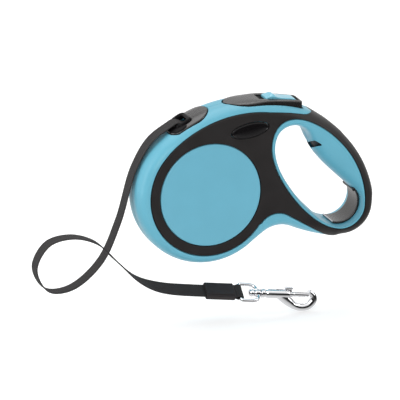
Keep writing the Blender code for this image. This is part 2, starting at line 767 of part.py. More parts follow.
# ---------------------------------------------------------------- brake
def brake_button():
    """The thumb button: a low saddle with a recess for the lock slider and a post underneath."""
    centre, radius = BUTTON_TOP
    top = arc(centre, radius, 102.0, 73.5, 16)
    knuckle = [at(80.0, 57.0), at(62.0, 57.0)]
    bottom = arc(at(31.8, -32.5), 101.4 * MM - BUTTON_DEPTH, 73.5, 101.0, 8)
    button = prism("brake_button", [*top, *knuckle, *bottom][::-1], -16 * MM, 16 * MM)
    soften(button, 2.6 * MM)
    plan = upright_prism("button_plan", button_plan(0.0), 40 * MM, 90 * MM)
    combine(button, plan, "INTERSECT")
    recess = moved(box("lock_recess", mm(-19.0, -6.3, -2.4), mm(15.0, 6.3, 20)), lock_matrix())
    post = box("button_post", mm(21.5, -9.3, 50.2), mm(25.5, -6.1, 63.8))
    eye = across("button_eye", 1.1 * MM, BUTTON_PIVOT, -20 * MM, 20 * MM, 12)
    join(cut(button, recess), post)
    cut(button, eye)
    return as_part(button, DARK_GREY)


def brake_button_pin():
    return as_part(across("brake_button_pin", 0.8 * MM, BUTTON_PIVOT, -13.1 * MM, 13.1 * MM, 12),
                   STEEL)


def soften(obj, width):
    """Rounds the long edges of a prism that lies across the leash."""
    bevel = obj.modifiers.new("rounded edges", "BEVEL")
    bevel.width = width
    bevel.segments = 3
    bevel.limit_method = "ANGLE"
    bevel.angle_limit = math.radians(60)
    bevel.use_clamp_overlap = True
    return obj


def lock_matrix():
    """Local X runs down the lock slider's path towards the handle."""
    place = Matrix.Translation((LOCK_CENTRE[0], 0, LOCK_CENTRE[1]))
    return place @ Matrix.Rotation(LOCK_SLOPE, 4, "Y")


def brake_lock_slider():
    """The slider that holds the button down, with a ridge for the thumb."""
    side = [at(-13.3, -1.5), at(13.3, -1.5), at(13.3, 0.2), at(12.0, 0.8), at(-3.5, 1.0),
            at(-5.5, 2.6), at(-7.5, 3.0), at(-9.8, 2.4), at(-12.0, 1.2), at(-13.3, 0.2)]
    slider = prism("brake_lock_slider", side, -5.9 * MM, 5.9 * MM)
    return as_part(moved(slider, lock_matrix()), BLUE)


def lock_detent_spring():
    """A small leaf under the slider that gives it two resting places."""
    bow = [mm(-6.0 + 1.5 * i, 0, -2.0 + 0.15 * math.sin(math.pi * i / 8)) for i in range(9)]
    leaf = ribbon("lock_detent_spring", bow, [mm(0, 2.0, 0)] * len(bow), 0.2 * MM)
    return as_part(moved(leaf, lock_matrix()), STEEL)


def brake_return_spring():
    return as_part(coil("brake_return_spring", mm(57.0, 0, 53.3), 2.4 * MM, 5.6 * MM, 4, 0.3 * MM),
                   STEEL)


def brake_pawl():
    """The lever that drops between the ratchet teeth when the button is pressed."""
    side = [at(41.2, 48.4), at(41.2, 51.6), at(39.0, 52.4), at(35.0, 51.6), at(24.0, 48.9),
            at(17.0, 48.6), at(16.2, 47.6), at(17.2, 44.4), at(20.0, 44.9), at(20.6, 46.2),
            at(35.0, 48.2), at(39.0, 47.4)]
    pawl = prism("brake_pawl", side[::-1], -9.4 * MM, -6.0 * MM)
    return as_part(cut(pawl, across("pawl_eye", 1.5 * MM, PAWL_PIVOT, -12 * MM, 0, 12)), STEEL)


def pawl_pin():
    return as_part(across("pawl_pin", 1.2 * MM, PAWL_PIVOT, -14.0 * MM, -5.4 * MM, 12), STEEL)


# ---------------------------------------------------------------- grip
def grip_insert():
    """The swinging liner in the hand opening's lower end, which makes the grip smaller."""
    half = 13.0 * MM
    outer = arc(INSERT_CENTRE, INSERT_RADIUS + INSERT_THICKNESS, -100, 31, 12)
    inner = arc(INSERT_CENTRE, INSERT_RADIUS, 36, -100, 12)
    insert = prism("grip_insert", [*outer, *inner], -half, half)
    knuckle = across("insert_knuckle", 2.1 * MM, INSERT_PIVOT, -half, half, 16)
    join(insert, knuckle)
    return as_part(cut(insert, across("insert_eye", 1.2 * MM, INSERT_PIVOT, -20 * MM, 20 * MM, 12)),
                   DARK_GREY)


def grip_insert_pin():
    return as_part(across("grip_insert_pin", 0.9 * MM, INSERT_PIVOT, -15.6 * MM, 15.6 * MM, 12),
                   STEEL)


# ---------------------------------------------------------------- tape outside and inside
ACROSS = Vector((0, 1, 0))


def snap_axis():
    return Vector((math.cos(HOOK_SLOPE), 0, -math.sin(HOOK_SLOPE)))


def eye_matrix():
    """Local X is the snap's axis and local Y the tape's width, at the swivel eye's centre."""
    along = snap_axis()
    width = Vector((0, math.cos(EYE_TILT), math.sin(EYE_TILT)))
    width = (width - along * width.dot(along)).normalized()
    normal = along.cross(width)
    turn = Matrix((along, width, normal)).transposed().to_4x4()
    return Matrix.Translation(HOOK_ORIGIN) @ turn


def snap_matrix():
    """Local X is the snap's axis and local Y stays the leash's Y."""
    return Matrix.Translation(HOOK_ORIGIN) @ Matrix.Rotation(HOOK_SLOPE, 4, "Y")


def tape_knots():
    """Middle of the free tape, from the nozzle round the loop to the sleeve."""
    sleeve_end = HOOK_ORIGIN - snap_axis() * 35.8 * MM
    return {
        "drop": [mm(-27.0, 0, 53.3), mm(-41.9, 0, 42.5), mm(-54.6, 1.2, 21.0),
                 mm(-65.9, 4.0, -20.0), mm(-80.0, 6.5, -51.4), mm(-103.0, 5.5, -68.6)],
        "loop": [mm(-123.5, 2.0, -67.2), mm(-134.2, -1.5, -47.8), mm(-125.1, -5.0, -29.0),
                 mm(-107.5, -8.0, -24.4)],
        "tail": [mm(-88.5, -9.5, -30.4), mm(-72.5, -9.5, -46.3), mm(-55.5, -9.5, -62.6),
                 mm(-38.0, -9.5, -71.0), sleeve_end, sleeve_end + snap_axis() * 11.0 * MM],
    }


def tape_pieces():
    """The free tape as three stretches that hinge on each other."""
    knots = tape_knots()
    per_span = 5
    path = smooth_path([*knots["drop"], *knots["loop"], *knots["tail"]], per_span)
    first = (len(knots["drop"]) - 1) * per_span
    second = first + len(knots["loop"]) * per_span
    third = len(path) - 1
    width = eye_matrix().to_3x3() @ Vector((0, 1, 0))
    twist_from = third - 4 * per_span
    halves = []
    for i in range(len(path)):
        share = min(max((i - twist_from) / (2.5 * per_span), 0.0), 1.0)
        halves.append(ACROSS.lerp(width, share).normalized() * TAPE_WIDTH / 2)
    pieces = []
    for name, start, end in (("tape_drop", 0, first), ("tape_loop", first, second),
                             ("tape_tail", second, third)):
        centres = [point.copy() for point in path[start:end + 1]]
        shorten(centres, start > 0, end < third)
        pieces.append(as_part(ribbon(name, centres, halves[start:end + 1], TAPE_THICKNESS),
                              TAPE_GREY))
    return pieces


def shorten(centres, at_start, at_end):
    """Leaves half a gap at the ends where a stretch meets the next one."""
    if at_start:
        centres[0] += (centres[1] - centres[0]).normalized() * GAP / 2
    if at_end:
        centres[-1] += (centres[-2] - centres[-1]).normalized() * GAP / 2


def tape_inner_run():
    """The tape from the wound coil, through the nozzle and over its ring."""
    knots = [mm(11.0, 0, 43.4), mm(-5.0, 0, 50.4), mm(-15.6, 0, 53.9), mm(-19.8, 0, 55.4),
             mm(-22.4, 0, 55.6), mm(-27.0, 0, 53.3)]
    path = smooth_path(knots, 3)
    shorten(path, False, True)
    return as_part(ribbon("tape_inner_run", path, [ACROSS * TAPE_WIDTH / 2] * len(path),
                          TAPE_THICKNESS), TAPE_GREY)


def tape_end_loop():
    """The tape's last turn round the swivel eye's bar, with both ends in the sleeve."""
    radius, bar = 2.1 * MM, -7.8 * MM
    leg = 0.75 * MM
    points = [mm(-22.0, 0, 0) + Vector((0, 0, leg)), mm(-13.0, 0, 0) + Vector((0, 0, leg))]
    points += [Vector((x, 0, z)) for x, z in arc((bar, 0), radius, 120, -120, 10)]
    points += [mm(-13.0, 0, 0) - Vector((0, 0, leg)), mm(-22.0, 0, 0) - Vector((0, 0, leg))]
    loop = ribbon("tape_end_loop", points, [ACROSS * TAPE_WIDTH / 2] * len(points),
                  TAPE_THICKNESS)
    return as_part(moved(loop, eye_matrix()), TAPE_GREY)


def tape_sleeve():
    """The stitched sleeve over the tape's folded end."""
    sleeve = box("tape_sleeve", mm(-35.8, -6.9, -2.2), mm(-12.1, 6.9, 2.2))
    hollow = box("sleeve_hollow", mm(-40, -6.3, -1.6), mm(0, 6.3, 1.6))
    bevel = sleeve.modifiers.new("rounded edges", "BEVEL")
    bevel.width = 0.5 * MM
    bevel.segments = 2
    for piece in (sleeve, hollow):
        moved(piece, eye_matrix())
    return as_part(cut(sleeve, hollow), SLEEVE_BLACK)


# ---------------------------------------------------------------- bolt snap
def swivel_eye():
    """The flat ring that the tape is tied to, with a round boss for the snap's stem."""
    half = [mm(-7.8, 6.9, 0), mm(-7.2, 7.7, 0), mm(-5.5, 8.1, 0), mm(2.5, 7.9, 0),
            mm(5.6, 6.4, 0), mm(6.9, 3.4, 0)]
    points = [*half, *[Vector((p.x, -p.y, 0)) for p in half[::-1]]]
    eye = tube("swivel_eye", points, 1.25 * MM, closed=True)
    boss = rod("eye_boss", 3.1 * MM, mm(4.0, 0, 0), mm(8.8, 0, 0), 20)
    bore = rod("eye_bore", 2.1 * MM, mm(0, 0, 0), mm(12.0, 0, 0), 16)
    for piece in (eye, boss, bore):
        moved(piece, eye_matrix())
    return as_part(cut(join(eye, boss), bore), CHROME)


def swivel_stem():
    """The riveted stem that lets the snap turn in the eye."""
    profile = [(0, 3.7), (2.7, 3.7), (2.7, 2.2), (1.6, 0.3), (0, 0.1)]
    stem = turned("swivel_stem", [(r * MM, z * MM) for r, z in profile], 16, "X")
    shaft = rod("stem_shaft", 1.8 * MM, mm(3.0, 0, 0), mm(12.6, 0, 0), 16)
    moved(stem, snap_matrix())
    moved(shaft, snap_matrix())
    return as_part(join(stem, shaft), CHROME)


def hook_body():
    """The snap's barrel and its open hook, cast in one."""
    outer = [(9.1, 2.9), (9.8, 3.5), (12.4, 3.5), (13.2, 3.1), (14.5, 3.7), (31.5, 3.7), (32.8, 3.2)]
    profile = [(0, 32.8), *[(r, z) for z, r in outer[::-1]], (0, 9.1)]
    body = turned("hook_body", [(r * MM, z * MM) for r, z in profile], 20, "X")
    spine = [(25.0, -0.9, 3.2), (28.5, -2.8, 3.6), (32.7, -5.4, 3.6), (37.8, -8.7, 3.0),
             (43.5, -9.9, 3.1), (49.4, -8.4, 3.2), (52.6, -4.0, 3.1), (51.9, -0.6, 2.6),
             (49.9, 1.5, 2.1), (48.3, 2.2, 1.7)]          # X, Z and half thickness
    bend = smooth_path([Vector((x * MM, 0, z * MM, half)) for x, z, half in spine], 2)
    hook = tube("hook_bend", bend, MM)
    stem_hole = rod("stem_hole", 2.1 * MM, mm(5, 0, 0), mm(13.0, 0, 0), 16)
    bore = rod("trigger_bore", 2.5 * MM, mm(14.5, 0, 0), mm(40, 0, 0), 16)
    seat = rod("bolt_seat", 2.4 * MM, mm(41.0, 0, 0), mm(49.2, 0, 0), 16)
    slot = box("trigger_slot", mm(21.5, -1.5, 0), mm(40.0, 1.5, 8))
    for piece in (body, hook, stem_hole, bore, seat, slot):
        moved(piece, snap_matrix())
    return as_part(cut(join(body, hook), stem_hole, bore, seat, slot), CHROME)


def trigger_bolt():
    """The sliding bolt that closes the hook, with its thumb tab."""
    bolt = rod("trigger_bolt", 2.1 * MM, mm(24.0, 0, 0), mm(48.9, 0, 0), 16)
    tab = box("thumb_tab", mm(28.6, -1.2, 0.5), mm(34.4, 1.2, 5.9))
    for piece in (bolt, tab):
        moved(piece, snap_matrix())
    return as_part(join(bolt, tab), CHROME)


def trigger_spring():
    spring = coil("trigger_spring", mm(15.1, 0, 0), 1.75 * MM, 8.2 * MM, 5, 0.25 * MM, "X")
    return as_part(moved(spring, snap_matrix()), STEEL)


# ---------------------------------------------------------------- assembly
def build():
    shared = shared_cutters()
    housing_shell(LEFT, "housing_shell_left", shared)
    housing_shell(RIGHT, "housing_shell_right", shared)
    for side, word in ((LEFT, "left"), (RIGHT, "right")):
        soft_cover(side, f"soft_cover_{word}")
        side_disc(side, f"side_disc_{word}")
        badge(side, f"badge_{word}")
        axle_washer(side, f"axle_washer_{word}")
    nozzle_cover()
    nozzle_frame()
    tape_guide_pin()
    for index, place in enumerate(SCREW_PLACES, 1):
        housing_screw(index, place)
    reel_axle()
    reel_drum()
    reel_flange()
    spring_cover()
    mainspring()
    wound_tape()
    brake_button()
    brake_lock_slider()
    lock_detent_spring()
    brake_button_pin()
    brake_return_spring()
    brake_pawl()
    pawl_pin()
    grip_insert()
    grip_insert_pin()
    tape_inner_run()
    tape_pieces()
    tape_end_loop()
    tape_sleeve()
    swivel_eye()
    swivel_stem()
    hook_body()
    trigger_bolt()
    trigger_spring()
    for piece in bpy.context.scene.objects:
        moved(piece, Matrix.Translation(AXLE_PLACE))


build()
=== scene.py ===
"""Looks of the retractable tape leash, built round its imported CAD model.

Pieces are built round the reel's axle: +X runs to the handle, +Z is up and the left side is at -Y.
made() then moves them to the axle's place in the frame.
"""

import json
import math

import bmesh
import bpy
from mathutils import Matrix, Vector
from mathutils.bvhtree import BVHTree
from mathutils.geometry import delaunay_2d_cdt

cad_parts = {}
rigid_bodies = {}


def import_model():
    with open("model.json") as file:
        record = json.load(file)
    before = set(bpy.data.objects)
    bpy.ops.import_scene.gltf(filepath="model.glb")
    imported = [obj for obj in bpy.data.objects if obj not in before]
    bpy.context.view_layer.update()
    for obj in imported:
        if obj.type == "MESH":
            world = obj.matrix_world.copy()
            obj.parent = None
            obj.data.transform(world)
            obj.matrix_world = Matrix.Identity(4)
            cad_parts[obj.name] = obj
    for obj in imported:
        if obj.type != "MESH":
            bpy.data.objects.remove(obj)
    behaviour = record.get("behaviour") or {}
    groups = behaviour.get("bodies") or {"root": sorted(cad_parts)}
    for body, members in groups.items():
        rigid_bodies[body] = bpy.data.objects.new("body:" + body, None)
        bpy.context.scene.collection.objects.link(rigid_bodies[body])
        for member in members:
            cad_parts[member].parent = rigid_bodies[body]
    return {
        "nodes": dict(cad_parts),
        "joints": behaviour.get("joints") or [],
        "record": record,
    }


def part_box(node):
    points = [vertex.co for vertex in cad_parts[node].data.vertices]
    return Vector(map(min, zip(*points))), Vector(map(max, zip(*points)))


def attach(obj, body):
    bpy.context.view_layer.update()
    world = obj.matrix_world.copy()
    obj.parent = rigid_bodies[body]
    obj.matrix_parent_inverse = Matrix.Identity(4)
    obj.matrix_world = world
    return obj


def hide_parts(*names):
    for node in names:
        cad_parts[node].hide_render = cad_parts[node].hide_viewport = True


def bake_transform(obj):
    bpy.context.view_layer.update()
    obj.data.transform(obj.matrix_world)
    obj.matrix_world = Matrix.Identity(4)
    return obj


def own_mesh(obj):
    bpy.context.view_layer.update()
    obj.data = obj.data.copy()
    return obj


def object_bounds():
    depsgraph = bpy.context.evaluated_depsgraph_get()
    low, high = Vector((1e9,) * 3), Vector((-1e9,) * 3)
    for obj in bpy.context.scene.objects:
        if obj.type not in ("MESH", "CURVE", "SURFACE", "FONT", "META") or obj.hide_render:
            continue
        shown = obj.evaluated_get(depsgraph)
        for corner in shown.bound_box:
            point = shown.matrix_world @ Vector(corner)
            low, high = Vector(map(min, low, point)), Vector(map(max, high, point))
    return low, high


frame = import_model()
CAD_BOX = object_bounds()

MM = 0.001
LEFT, RIGHT = -1, 1
SIDES = {"left": LEFT, "right": RIGHT}
JOINTS = {joint["name"]: joint for joint in frame["joints"]}
AXLE = sum(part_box("reel_axle"), Vector()) / 2  # the axle's place in the frame


def node_box(name):
    """A CAD node's box, measured from the axle."""
    return [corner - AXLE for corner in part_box(name)]


def node_centre(name):
    return sum(node_box(name), Vector()) / 2


# ---- sizes, from the frame
DISC_RADIUS = node_box("side_disc_left")[1].x
FACE = node_box("side_disc_right")[1].y  # side face, from the parting plane
BODY_RADIUS = -node_box("housing_shell_left")[0].x  # round reel end at the parting plane
COVER_RADIUS = BODY_RADIUS - 8.4 * MM  # round part of the soft cover's edge
SHOULDER_IN, SHOULDER_DEPTH = 8.5 * MM, 14.0 * MM  # the rounded edge of the housing
PARTING = 0.12 * MM  # half the seam between the shells
SEAM = 0.3 * MM  # gap between neighbouring mouldings
PROUD = 0.2 * MM  # the soft cover stands this far out
HOOK_ORIGIN = Vector((33.6 * MM, -9.5 * MM, -83.0 * MM))
HOOK_SLOPE = math.radians(8.3)
EYE_TILT = math.radians(32.0)
NOZZLE_CENTRE = (-17.5 * MM, 54.6 * MM)
NOZZLE_ANGLE = math.radians(119.0)
LOCK_SLOPE = math.radians(8.4)
LOCK_CENTRE = (60.0 * MM, 65.6 * MM)
INSERT_CENTRE = (105.3 * MM, -19.2 * MM)
TAPE_WIDTH, TAPE_THICKNESS = 12.0 * MM, 1.0 * MM

ACROSS = Vector((0, 1, 0))


# ---- mesh helpers
def new_object(name, mesh):
    obj = bpy.data.objects.new(name, mesh)
    bpy.context.scene.collection.objects.link(obj)
    return obj


def mesh_object(name, points, faces):
    """An object from points and faces, with its normals facing out."""
    mesh = bpy.data.meshes.new(name)
    mesh.from_pydata([tuple(p) for p in points], [], faces)
    bm = bmesh.new()
    bm.from_mesh(mesh)
    bmesh.ops.recalc_face_normals(bm, faces=bm.faces)
    bm.to_mesh(mesh)
    bm.free()
    return new_object(name, mesh)


def baked(obj):
    """Applies an object's modifiers to its mesh."""
    bpy.context.view_layer.update()
    graph = bpy.context.evaluated_depsgraph_get()
    mesh = bpy.data.meshes.new_from_object(obj.evaluated_get(graph))
    old = obj.data
    obj.modifiers.clear()
    obj.data = mesh
    bpy.data.meshes.remove(old)
    return obj


def boolean(obj, operation, *others):
    """Cuts, joins or intersects obj with others, which are used up."""
    for other in others:
        modifier = obj.modifiers.new(other.name, "BOOLEAN")
        modifier.operation = operation
        modifier.solver = "EXACT"
        modifier.object = other
    baked(obj)
    for other in others:
        bpy.data.objects.remove(other, do_unlink=True)
    return obj


def cut(obj, *others):
    return boolean(obj, "DIFFERENCE", *others)


def join(obj, *others):
    return boolean(obj, "UNION", *others)


def moved(obj, matrix):
    obj.data.transform(matrix)
    return obj


def finished(obj, material, angle=32.0):
    """Smooth shading with sharp edges kept, and the piece's material."""
    obj.data.materials.clear()
    obj.data.materials.append(material)
    for polygon in obj.data.polygons:
        polygon.material_index = 0
    obj.data.shade_smooth()
    obj.data.set_sharp_from_angle(angle=math.radians(angle))
    weighted = obj.modifiers.new("even shading", "WEIGHTED_NORMAL")
    weighted.keep_sharp = True
    return baked(obj)


def made(obj, body, slot, *nodes, angle=32.0, finish=None):
    """Finishes a piece and moves it to its place; it rides a body, or, given anything other than a
    body's name, stays fixed in the frame, and stands for CAD nodes."""
    finished(obj, MATERIALS[finish or slot], angle)
    moved(obj, Matrix.Translation(AXLE))
    if isinstance(body, str):
        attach(obj, body)
    else:
        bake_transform(obj)
    if nodes:
        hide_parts(*nodes)


def turns(count):
    """The angles of count even steps round a circle."""
    return [2 * math.pi * k / count for k in range(count)]


def strips(first, second):
    """Quads between two closed rings of vertex numbers."""
    count = len(first)
    return [(first[i], first[(i + 1) % count], second[(i + 1) % count], second[i])
            for i in range(count)]


def loft(name, rings, looped=False):
    """A solid through rings of as many points; looped joins the last to the first."""
    size = len(rings[0])
    points = [point for ring in rings for point in ring]
    rows = [list(range(k * size, (k + 1) * size)) for k in range(len(rings))]
    following = rows[1:] + rows[:1] if looped else rows[1:]
    faces = [face for a, b in zip(rows, following) for face in strips(a, b)]
    if not looped:
        faces += [rows[0][::-1], rows[-1]]
    return mesh_object(name, points, faces)


def turned(name, profile, steps=96, axis="Y"):
    """A closed profile of (radius, place on the axis) turned about Y or X."""
    points, faces, rows = [], [], []
    for radius, along in profile:
        angles = turns(steps)[:1 if radius < 1e-7 else steps]
        rows.append([len(points) + i for i in range(len(angles))])
        for angle in angles:
            u, v = radius * math.cos(angle), radius * math.sin(angle)
            points.append((u, along, v) if axis == "Y" else (along, u, v))
    for a, b in zip(rows, rows[1:] + rows[:1]):
        if len(a) == len(b) == 1:
            continue
        if len(a) == 1:
            faces += [(a[0], b[i], b[(i + 1) % steps]) for i in range(steps)]
        elif len(b) == 1:
            faces += [(b[0], a[(i + 1) % steps], a[i]) for i in range(steps)]
        else:
            faces += strips(a, b)
    return mesh_object(name, points, faces)


def lathed(name, profile, steps=40):
    """A profile of (radius, place) in millimetres turned about X."""
    return turned(name, [at(r, x) for r, x in profile], steps, "X")


def rod(name, radius, start, end, steps=32):
    """A round bar between two points."""
    start, end = Vector(start), Vector(end)
    along = end - start
    turn = Vector((1, 0, 0)).rotation_difference(along).to_matrix().to_4x4()
    bar = turned(name, [(0, 0), (radius, 0), (radius, along.length), (0, along.length)],
                 steps, "X")
    return moved(bar, Matrix.Translation(start) @ turn)


def box(name, low, high):
    bm = bmesh.new()
    bmesh.ops.create_cube(bm, size=1.0)
    bmesh.ops.scale(bm, vec=Vector(high) - Vector(low), verts=bm.verts)
    bmesh.ops.translate(bm, vec=(Vector(low) + Vector(high)) / 2, verts=bm.verts)
    mesh = bpy.data.meshes.new(name)
    bm.to_mesh(mesh)
    bm.free()
    return new_object(name, mesh)


def softened(obj, width, segments=3):
    """Rounds the sharp edges of a simple mesh."""
    bevel = obj.modifiers.new("rounded edges", "BEVEL")
    bevel.width, bevel.segments = width, segments
    bevel.limit_method, bevel.angle_limit = "ANGLE", math.radians(50.0)
    return baked(obj)


def cast(obj, voxel, smoothing):
    """Fuses overlapping solids into one skin with soft fillets."""
    remesh = obj.modifiers.new("fuse", "REMESH")
    remesh.mode, remesh.voxel_size = "VOXEL", voxel
    baked(obj)
    smooth = obj.modifiers.new("fillets", "SMOOTH")
    smooth.factor, smooth.iterations = 0.5, smoothing
    return baked(obj)


# ---- outline helpers
def at(x, z):
    return (x * MM, z * MM)


def mm(*values):
    return Vector([value * MM for value in values])


def arc(centre, radius, start, end, steps):
    """Points on an arc from start to end degrees, both included."""
    angles = [math.radians(start + (end - start) * i / steps) for i in range(steps + 1)]
    return [(centre[0] + radius * math.cos(t), centre[1] + radius * math.sin(t)) for t in angles]


def grown(points, distance):
    """A closed counter-clockwise outline moved outwards along its normals."""
    outline = []
    for i, (x, z) in enumerate(points):
        along = (Vector(points[(i + 1) % len(points)]) - Vector(points[i - 1])).normalized()
        outline.append((x + along.y * distance, z - along.x * distance))
    return outline


def even(points, step):
    """A closed outline with its points spread evenly, about step apart."""
    loop = [*points, points[0]]
    lengths = [math.dist(a, b) for a, b in zip(loop, loop[1:])]
    total = sum(lengths)
    count = round(total / step)
    spread, k, passed = [], 0, 0.0
    for i in range(count):
        target = total * i / count
        while target > passed + lengths[k]:
            passed += lengths[k]
            k += 1
        share = (target - passed) / lengths[k]
        spread.append(tuple(a + (b - a) * share for a, b in zip(loop[k], loop[k + 1])))
    return spread


def relaxed(points, rounds):
    """Evens out the bends of a closed outline."""
    for _ in range(rounds):
        near = zip(points[-1:] + points[:-1], points, points[1:] + points[:1])
        points = [((a[0] + 2 * b[0] + c[0]) / 4, (a[1] + 2 * b[1] + c[1]) / 4)
                  for a, b, c in near]
    return points


def smooth_span(a, b, c, d, count):
    """Points of a centripetal Catmull-Rom curve from b towards c."""
    first = math.sqrt((b - a).length)
    middle = math.sqrt((c - b).length)
    last = math.sqrt((d - c).length)
    leave = ((b - a) / first - (c - a) / (first + middle)) * middle + (c - b)
    arrive = ((d - c) / last - (d - b) / (middle + last)) * middle + (c - b)
    points = []
    for i in range(count):
        t = i / count
        points.append(b + leave * t + (3 * (c - b) - 2 * leave - arrive) * t * t
                      + (leave + arrive - 2 * (c - b)) * t * t * t)
    return points


def smooth_path(knots, per_span):
    """A smooth path through the knots."""
    ends = [2 * knots[0] - knots[1], *knots, 2 * knots[-1] - knots[-2]]
    spans = [smooth_span(*four, per_span) for four in zip(ends, ends[1:], ends[2:], ends[3:])]
    return [*[point for span in spans for point in span], knots[-1]]


def smooth_loop(knots, per_span):
    """A smooth closed path through the knots."""
    spans = zip(knots[-1:] + knots[:-1], knots, knots[1:] + knots[:1], knots[2:] + knots[:2])
    return [point for four in spans for point in smooth_span(*four, per_span)]


def mirrored(half):
    """A line of (along, across) points from the middle out, then back on the other side."""
    return [*half, *[(x, -y) for x, y in half[-2:0:-1]]]


def prism(name, points, low, high):
    """A flat outline in X and Z, from low to high in Y."""
    return loft(name, [[(x, y, z) for x, z in points] for y in (low, high)])


def upright_prism(name, points, low, high):
    """A flat outline in X and Y, from low to high in Z."""
    return loft(name, [[(x, y, z) for x, y in points] for z in (low, high)])


def flared(name, points, side, lip):
    """A prism across the leash whose outline has grown by lip at the side face."""
    stations = [(0.0, 0.0), (0.90, 0.0), (0.955, 0.12), (0.985, 0.42), (1.01, 1.0), (1.06, 1.7)]
    return stacked(name, points, [(lip * lean, side * share * FACE) for share, lean in stations])


def stacked(name, outline, stations):
    """A solid through copies of an outline in X and Z, each at its (growth, Y)."""
    return loft(name, [[(x, y, z) for x, z in grown(outline, grow)] for grow, y in stations])


# ---- outlines
OUTLINE_STEP = 1.3 * MM
SKIN_TOP = (at(33.0, -42.8), 109.8 * MM)  # the housing's top line: centre and radius


def housing_outline():
    points = [
        *arc((0, 0), BODY_RADIUS, 136, 311, 130),
        *arc(at(57.5, -54.9), 22.5 * MM, 130, 68, 24),
        *arc(at(131.1, 104.8), 153.4 * MM, 247, 259, 24),
        *arc(at(108.5, -20.5), 24.2 * MM, 264, 357, 40),
        *arc(at(47.4, -26.9), 86.9 * MM, 9, 43, 40),
        *arc(at(-7.05, -80.95), 164.1 * MM, 45, 50, 10),
        *arc(*SKIN_TOP, 61, 129, 110),
    ]
    return relaxed(even(points, OUTLINE_STEP), 4)


def cover_outline():
    """The soft cover's edge; round the handle it runs clear of the housing."""
    return [
        *arc((0, 0), COVER_RADIUS, 137, 325, 130),
        *arc(at(53.5, -36.0), 16.0 * MM, 143, 62, 20),
        at(106.0, -50.0),
        at(146.0, -60.0),
        at(146.0, 70.0),
        at(90.3, 70.0),
        *arc(at(87.3, 56.7), 3.0 * MM, 0, -95, 10),
        at(77.6, 54.1),
        at(64.2, 57.2),
        at(55.0, 58.6),
        *arc(at(31.8, -32.5), 93.3 * MM, 80, 133, 80),
    ]


HOLE_RIM = [(98.1, -36.2), (107.6, -37.6), (116.2, -34.2), (122.2, -26.7), (123.7, -17.3),
            (121.8, -2.0), (115.8, 13.6), (107.7, 26.0), (96.1, 38.0), (85.5, 45.6), (76.0, 50.3),
            (67.5, 52.2), (59.6, 51.0), (54.0, 46.7), (50.7, 40.4), (49.2, 32.5), (50.0, 24.0),
            (53.6, 12.6), (60.2, 0.0), (70.2, -14.2), (80.0, -24.4), (88.6, -31.3)]
HOLE_CORE = [(98.7, -34.5), (107.3, -35.8), (115.1, -32.7), (120.4, -26.0), (121.8, -16.2),
             (117.2, -10.2), (106.6, 0.2), (97.4, 9.4), (88.8, 19.6), (84.2, 27.8), (81.6, 36.6),
             (73.6, 43.6), (64.8, 43.4), (59.0, 40.3), (55.9, 35.6), (54.7, 29.6), (55.0, 22.6),
             (57.6, 13.4), (63.4, 2.2), (72.9, -11.6), (82.2, -21.6), (90.2, -29.2)]


def hole_loop(knots):
    """A closed smooth outline through knots in millimetres."""
    loop = smooth_loop([mm(x, 0, z) for x, z in knots], 6)
    return relaxed([(p.x, p.z) for p in loop], 3)


def depth_at(inset):
    """The skin's distance from the parting plane, by its distance in from the outline."""
    if inset >= SHOULDER_IN:
        return FACE
    share = 1 - inset / SHOULDER_IN
    return FACE - SHOULDER_DEPTH * (1 - math.sqrt(1 - share * share))


def inset_of(point, outline):
    """Distance from a point to a closed outline."""
    best = 1.0
    x, z = point
    for (ax, az), (bx, bz) in zip(outline, outline[1:] + outline[:1]):
        dx, dz = bx - ax, bz - az
        t = min(max(((x - ax) * dx + (z - az) * dz) / (dx * dx + dz * dz), 0.0), 1.0)
        best = min(best, math.hypot(x - ax - t * dx, z - az - t * dz))
    return best


def fill_between(outer, hole, loose):
    """Triangles between two flat loops, numbered as outer, hole, then the loose points."""
    coords = [Vector(p) for p in [*outer, *hole, *loose]]
    edges, start = [], 0
    for loop in (outer, hole):
        edges += [(start + i, start + (i + 1) % len(loop)) for i in range(len(loop))]
        start += len(loop)
    _, _, faces, origins, _, _ = delaunay_2d_cdt(coords, edges, [], 1, 1e-7, True)
    kept = []
    for face in faces:
        corners = [origins[v][0] for v in face]
        middle = sum((coords[v] for v in corners), Vector((0, 0))) / len(corners)
        if is_inside(middle, outer) and not is_inside(middle, hole):
            kept.append(corners)
    return kept


def is_inside(point, loop):
    inside = False
    x, z = point
    for (ax, az), (bx, bz) in zip(loop, loop[1:] + loop[:1]):
        if (az > z) != (bz > z) and x < ax + (z - az) / (bz - az) * (bx - ax):
            inside = not inside
    return inside


# ---- housing shells
OUTLINE = housing_outline()
RIM = grown(hole_loop(HOLE_RIM), -0.8 * MM)  # the hand opening at the side faces
CORE = hole_loop(HOLE_CORE)  # and at the parting plane, where the grip swells


def skin_rings(grow, degrees):
    """(distance in from the outline, distance from the parting plane) along the shoulder."""
    reach = SHOULDER_DEPTH + grow
    return [(SHOULDER_IN * (1 - math.cos(t)) - grow * math.cos(t),
             FACE - SHOULDER_DEPTH + reach * math.sin(t)) for t in map(math.radians, degrees)]


def half_block(name, side, grow=0.0, steps=14):
    """Half of the housing as a closed solid without the hand opening."""
    stations = [(-grow, PARTING), *skin_rings(grow, [90 * k / steps for k in range(steps + 1)])]
    return stacked(name, OUTLINE, [(-inset, side * y) for inset, y in stations])


def full_block(name, grow, steps):
    """The whole housing's outer shape, grown."""
    half = skin_rings(grow, [90 * k / steps for k in range(steps + 1)])
    return stacked(name, OUTLINE, [*[(-inset, -y) for inset, y in half[::-1]],
                                   *[(-inset, y) for inset, y in half]])


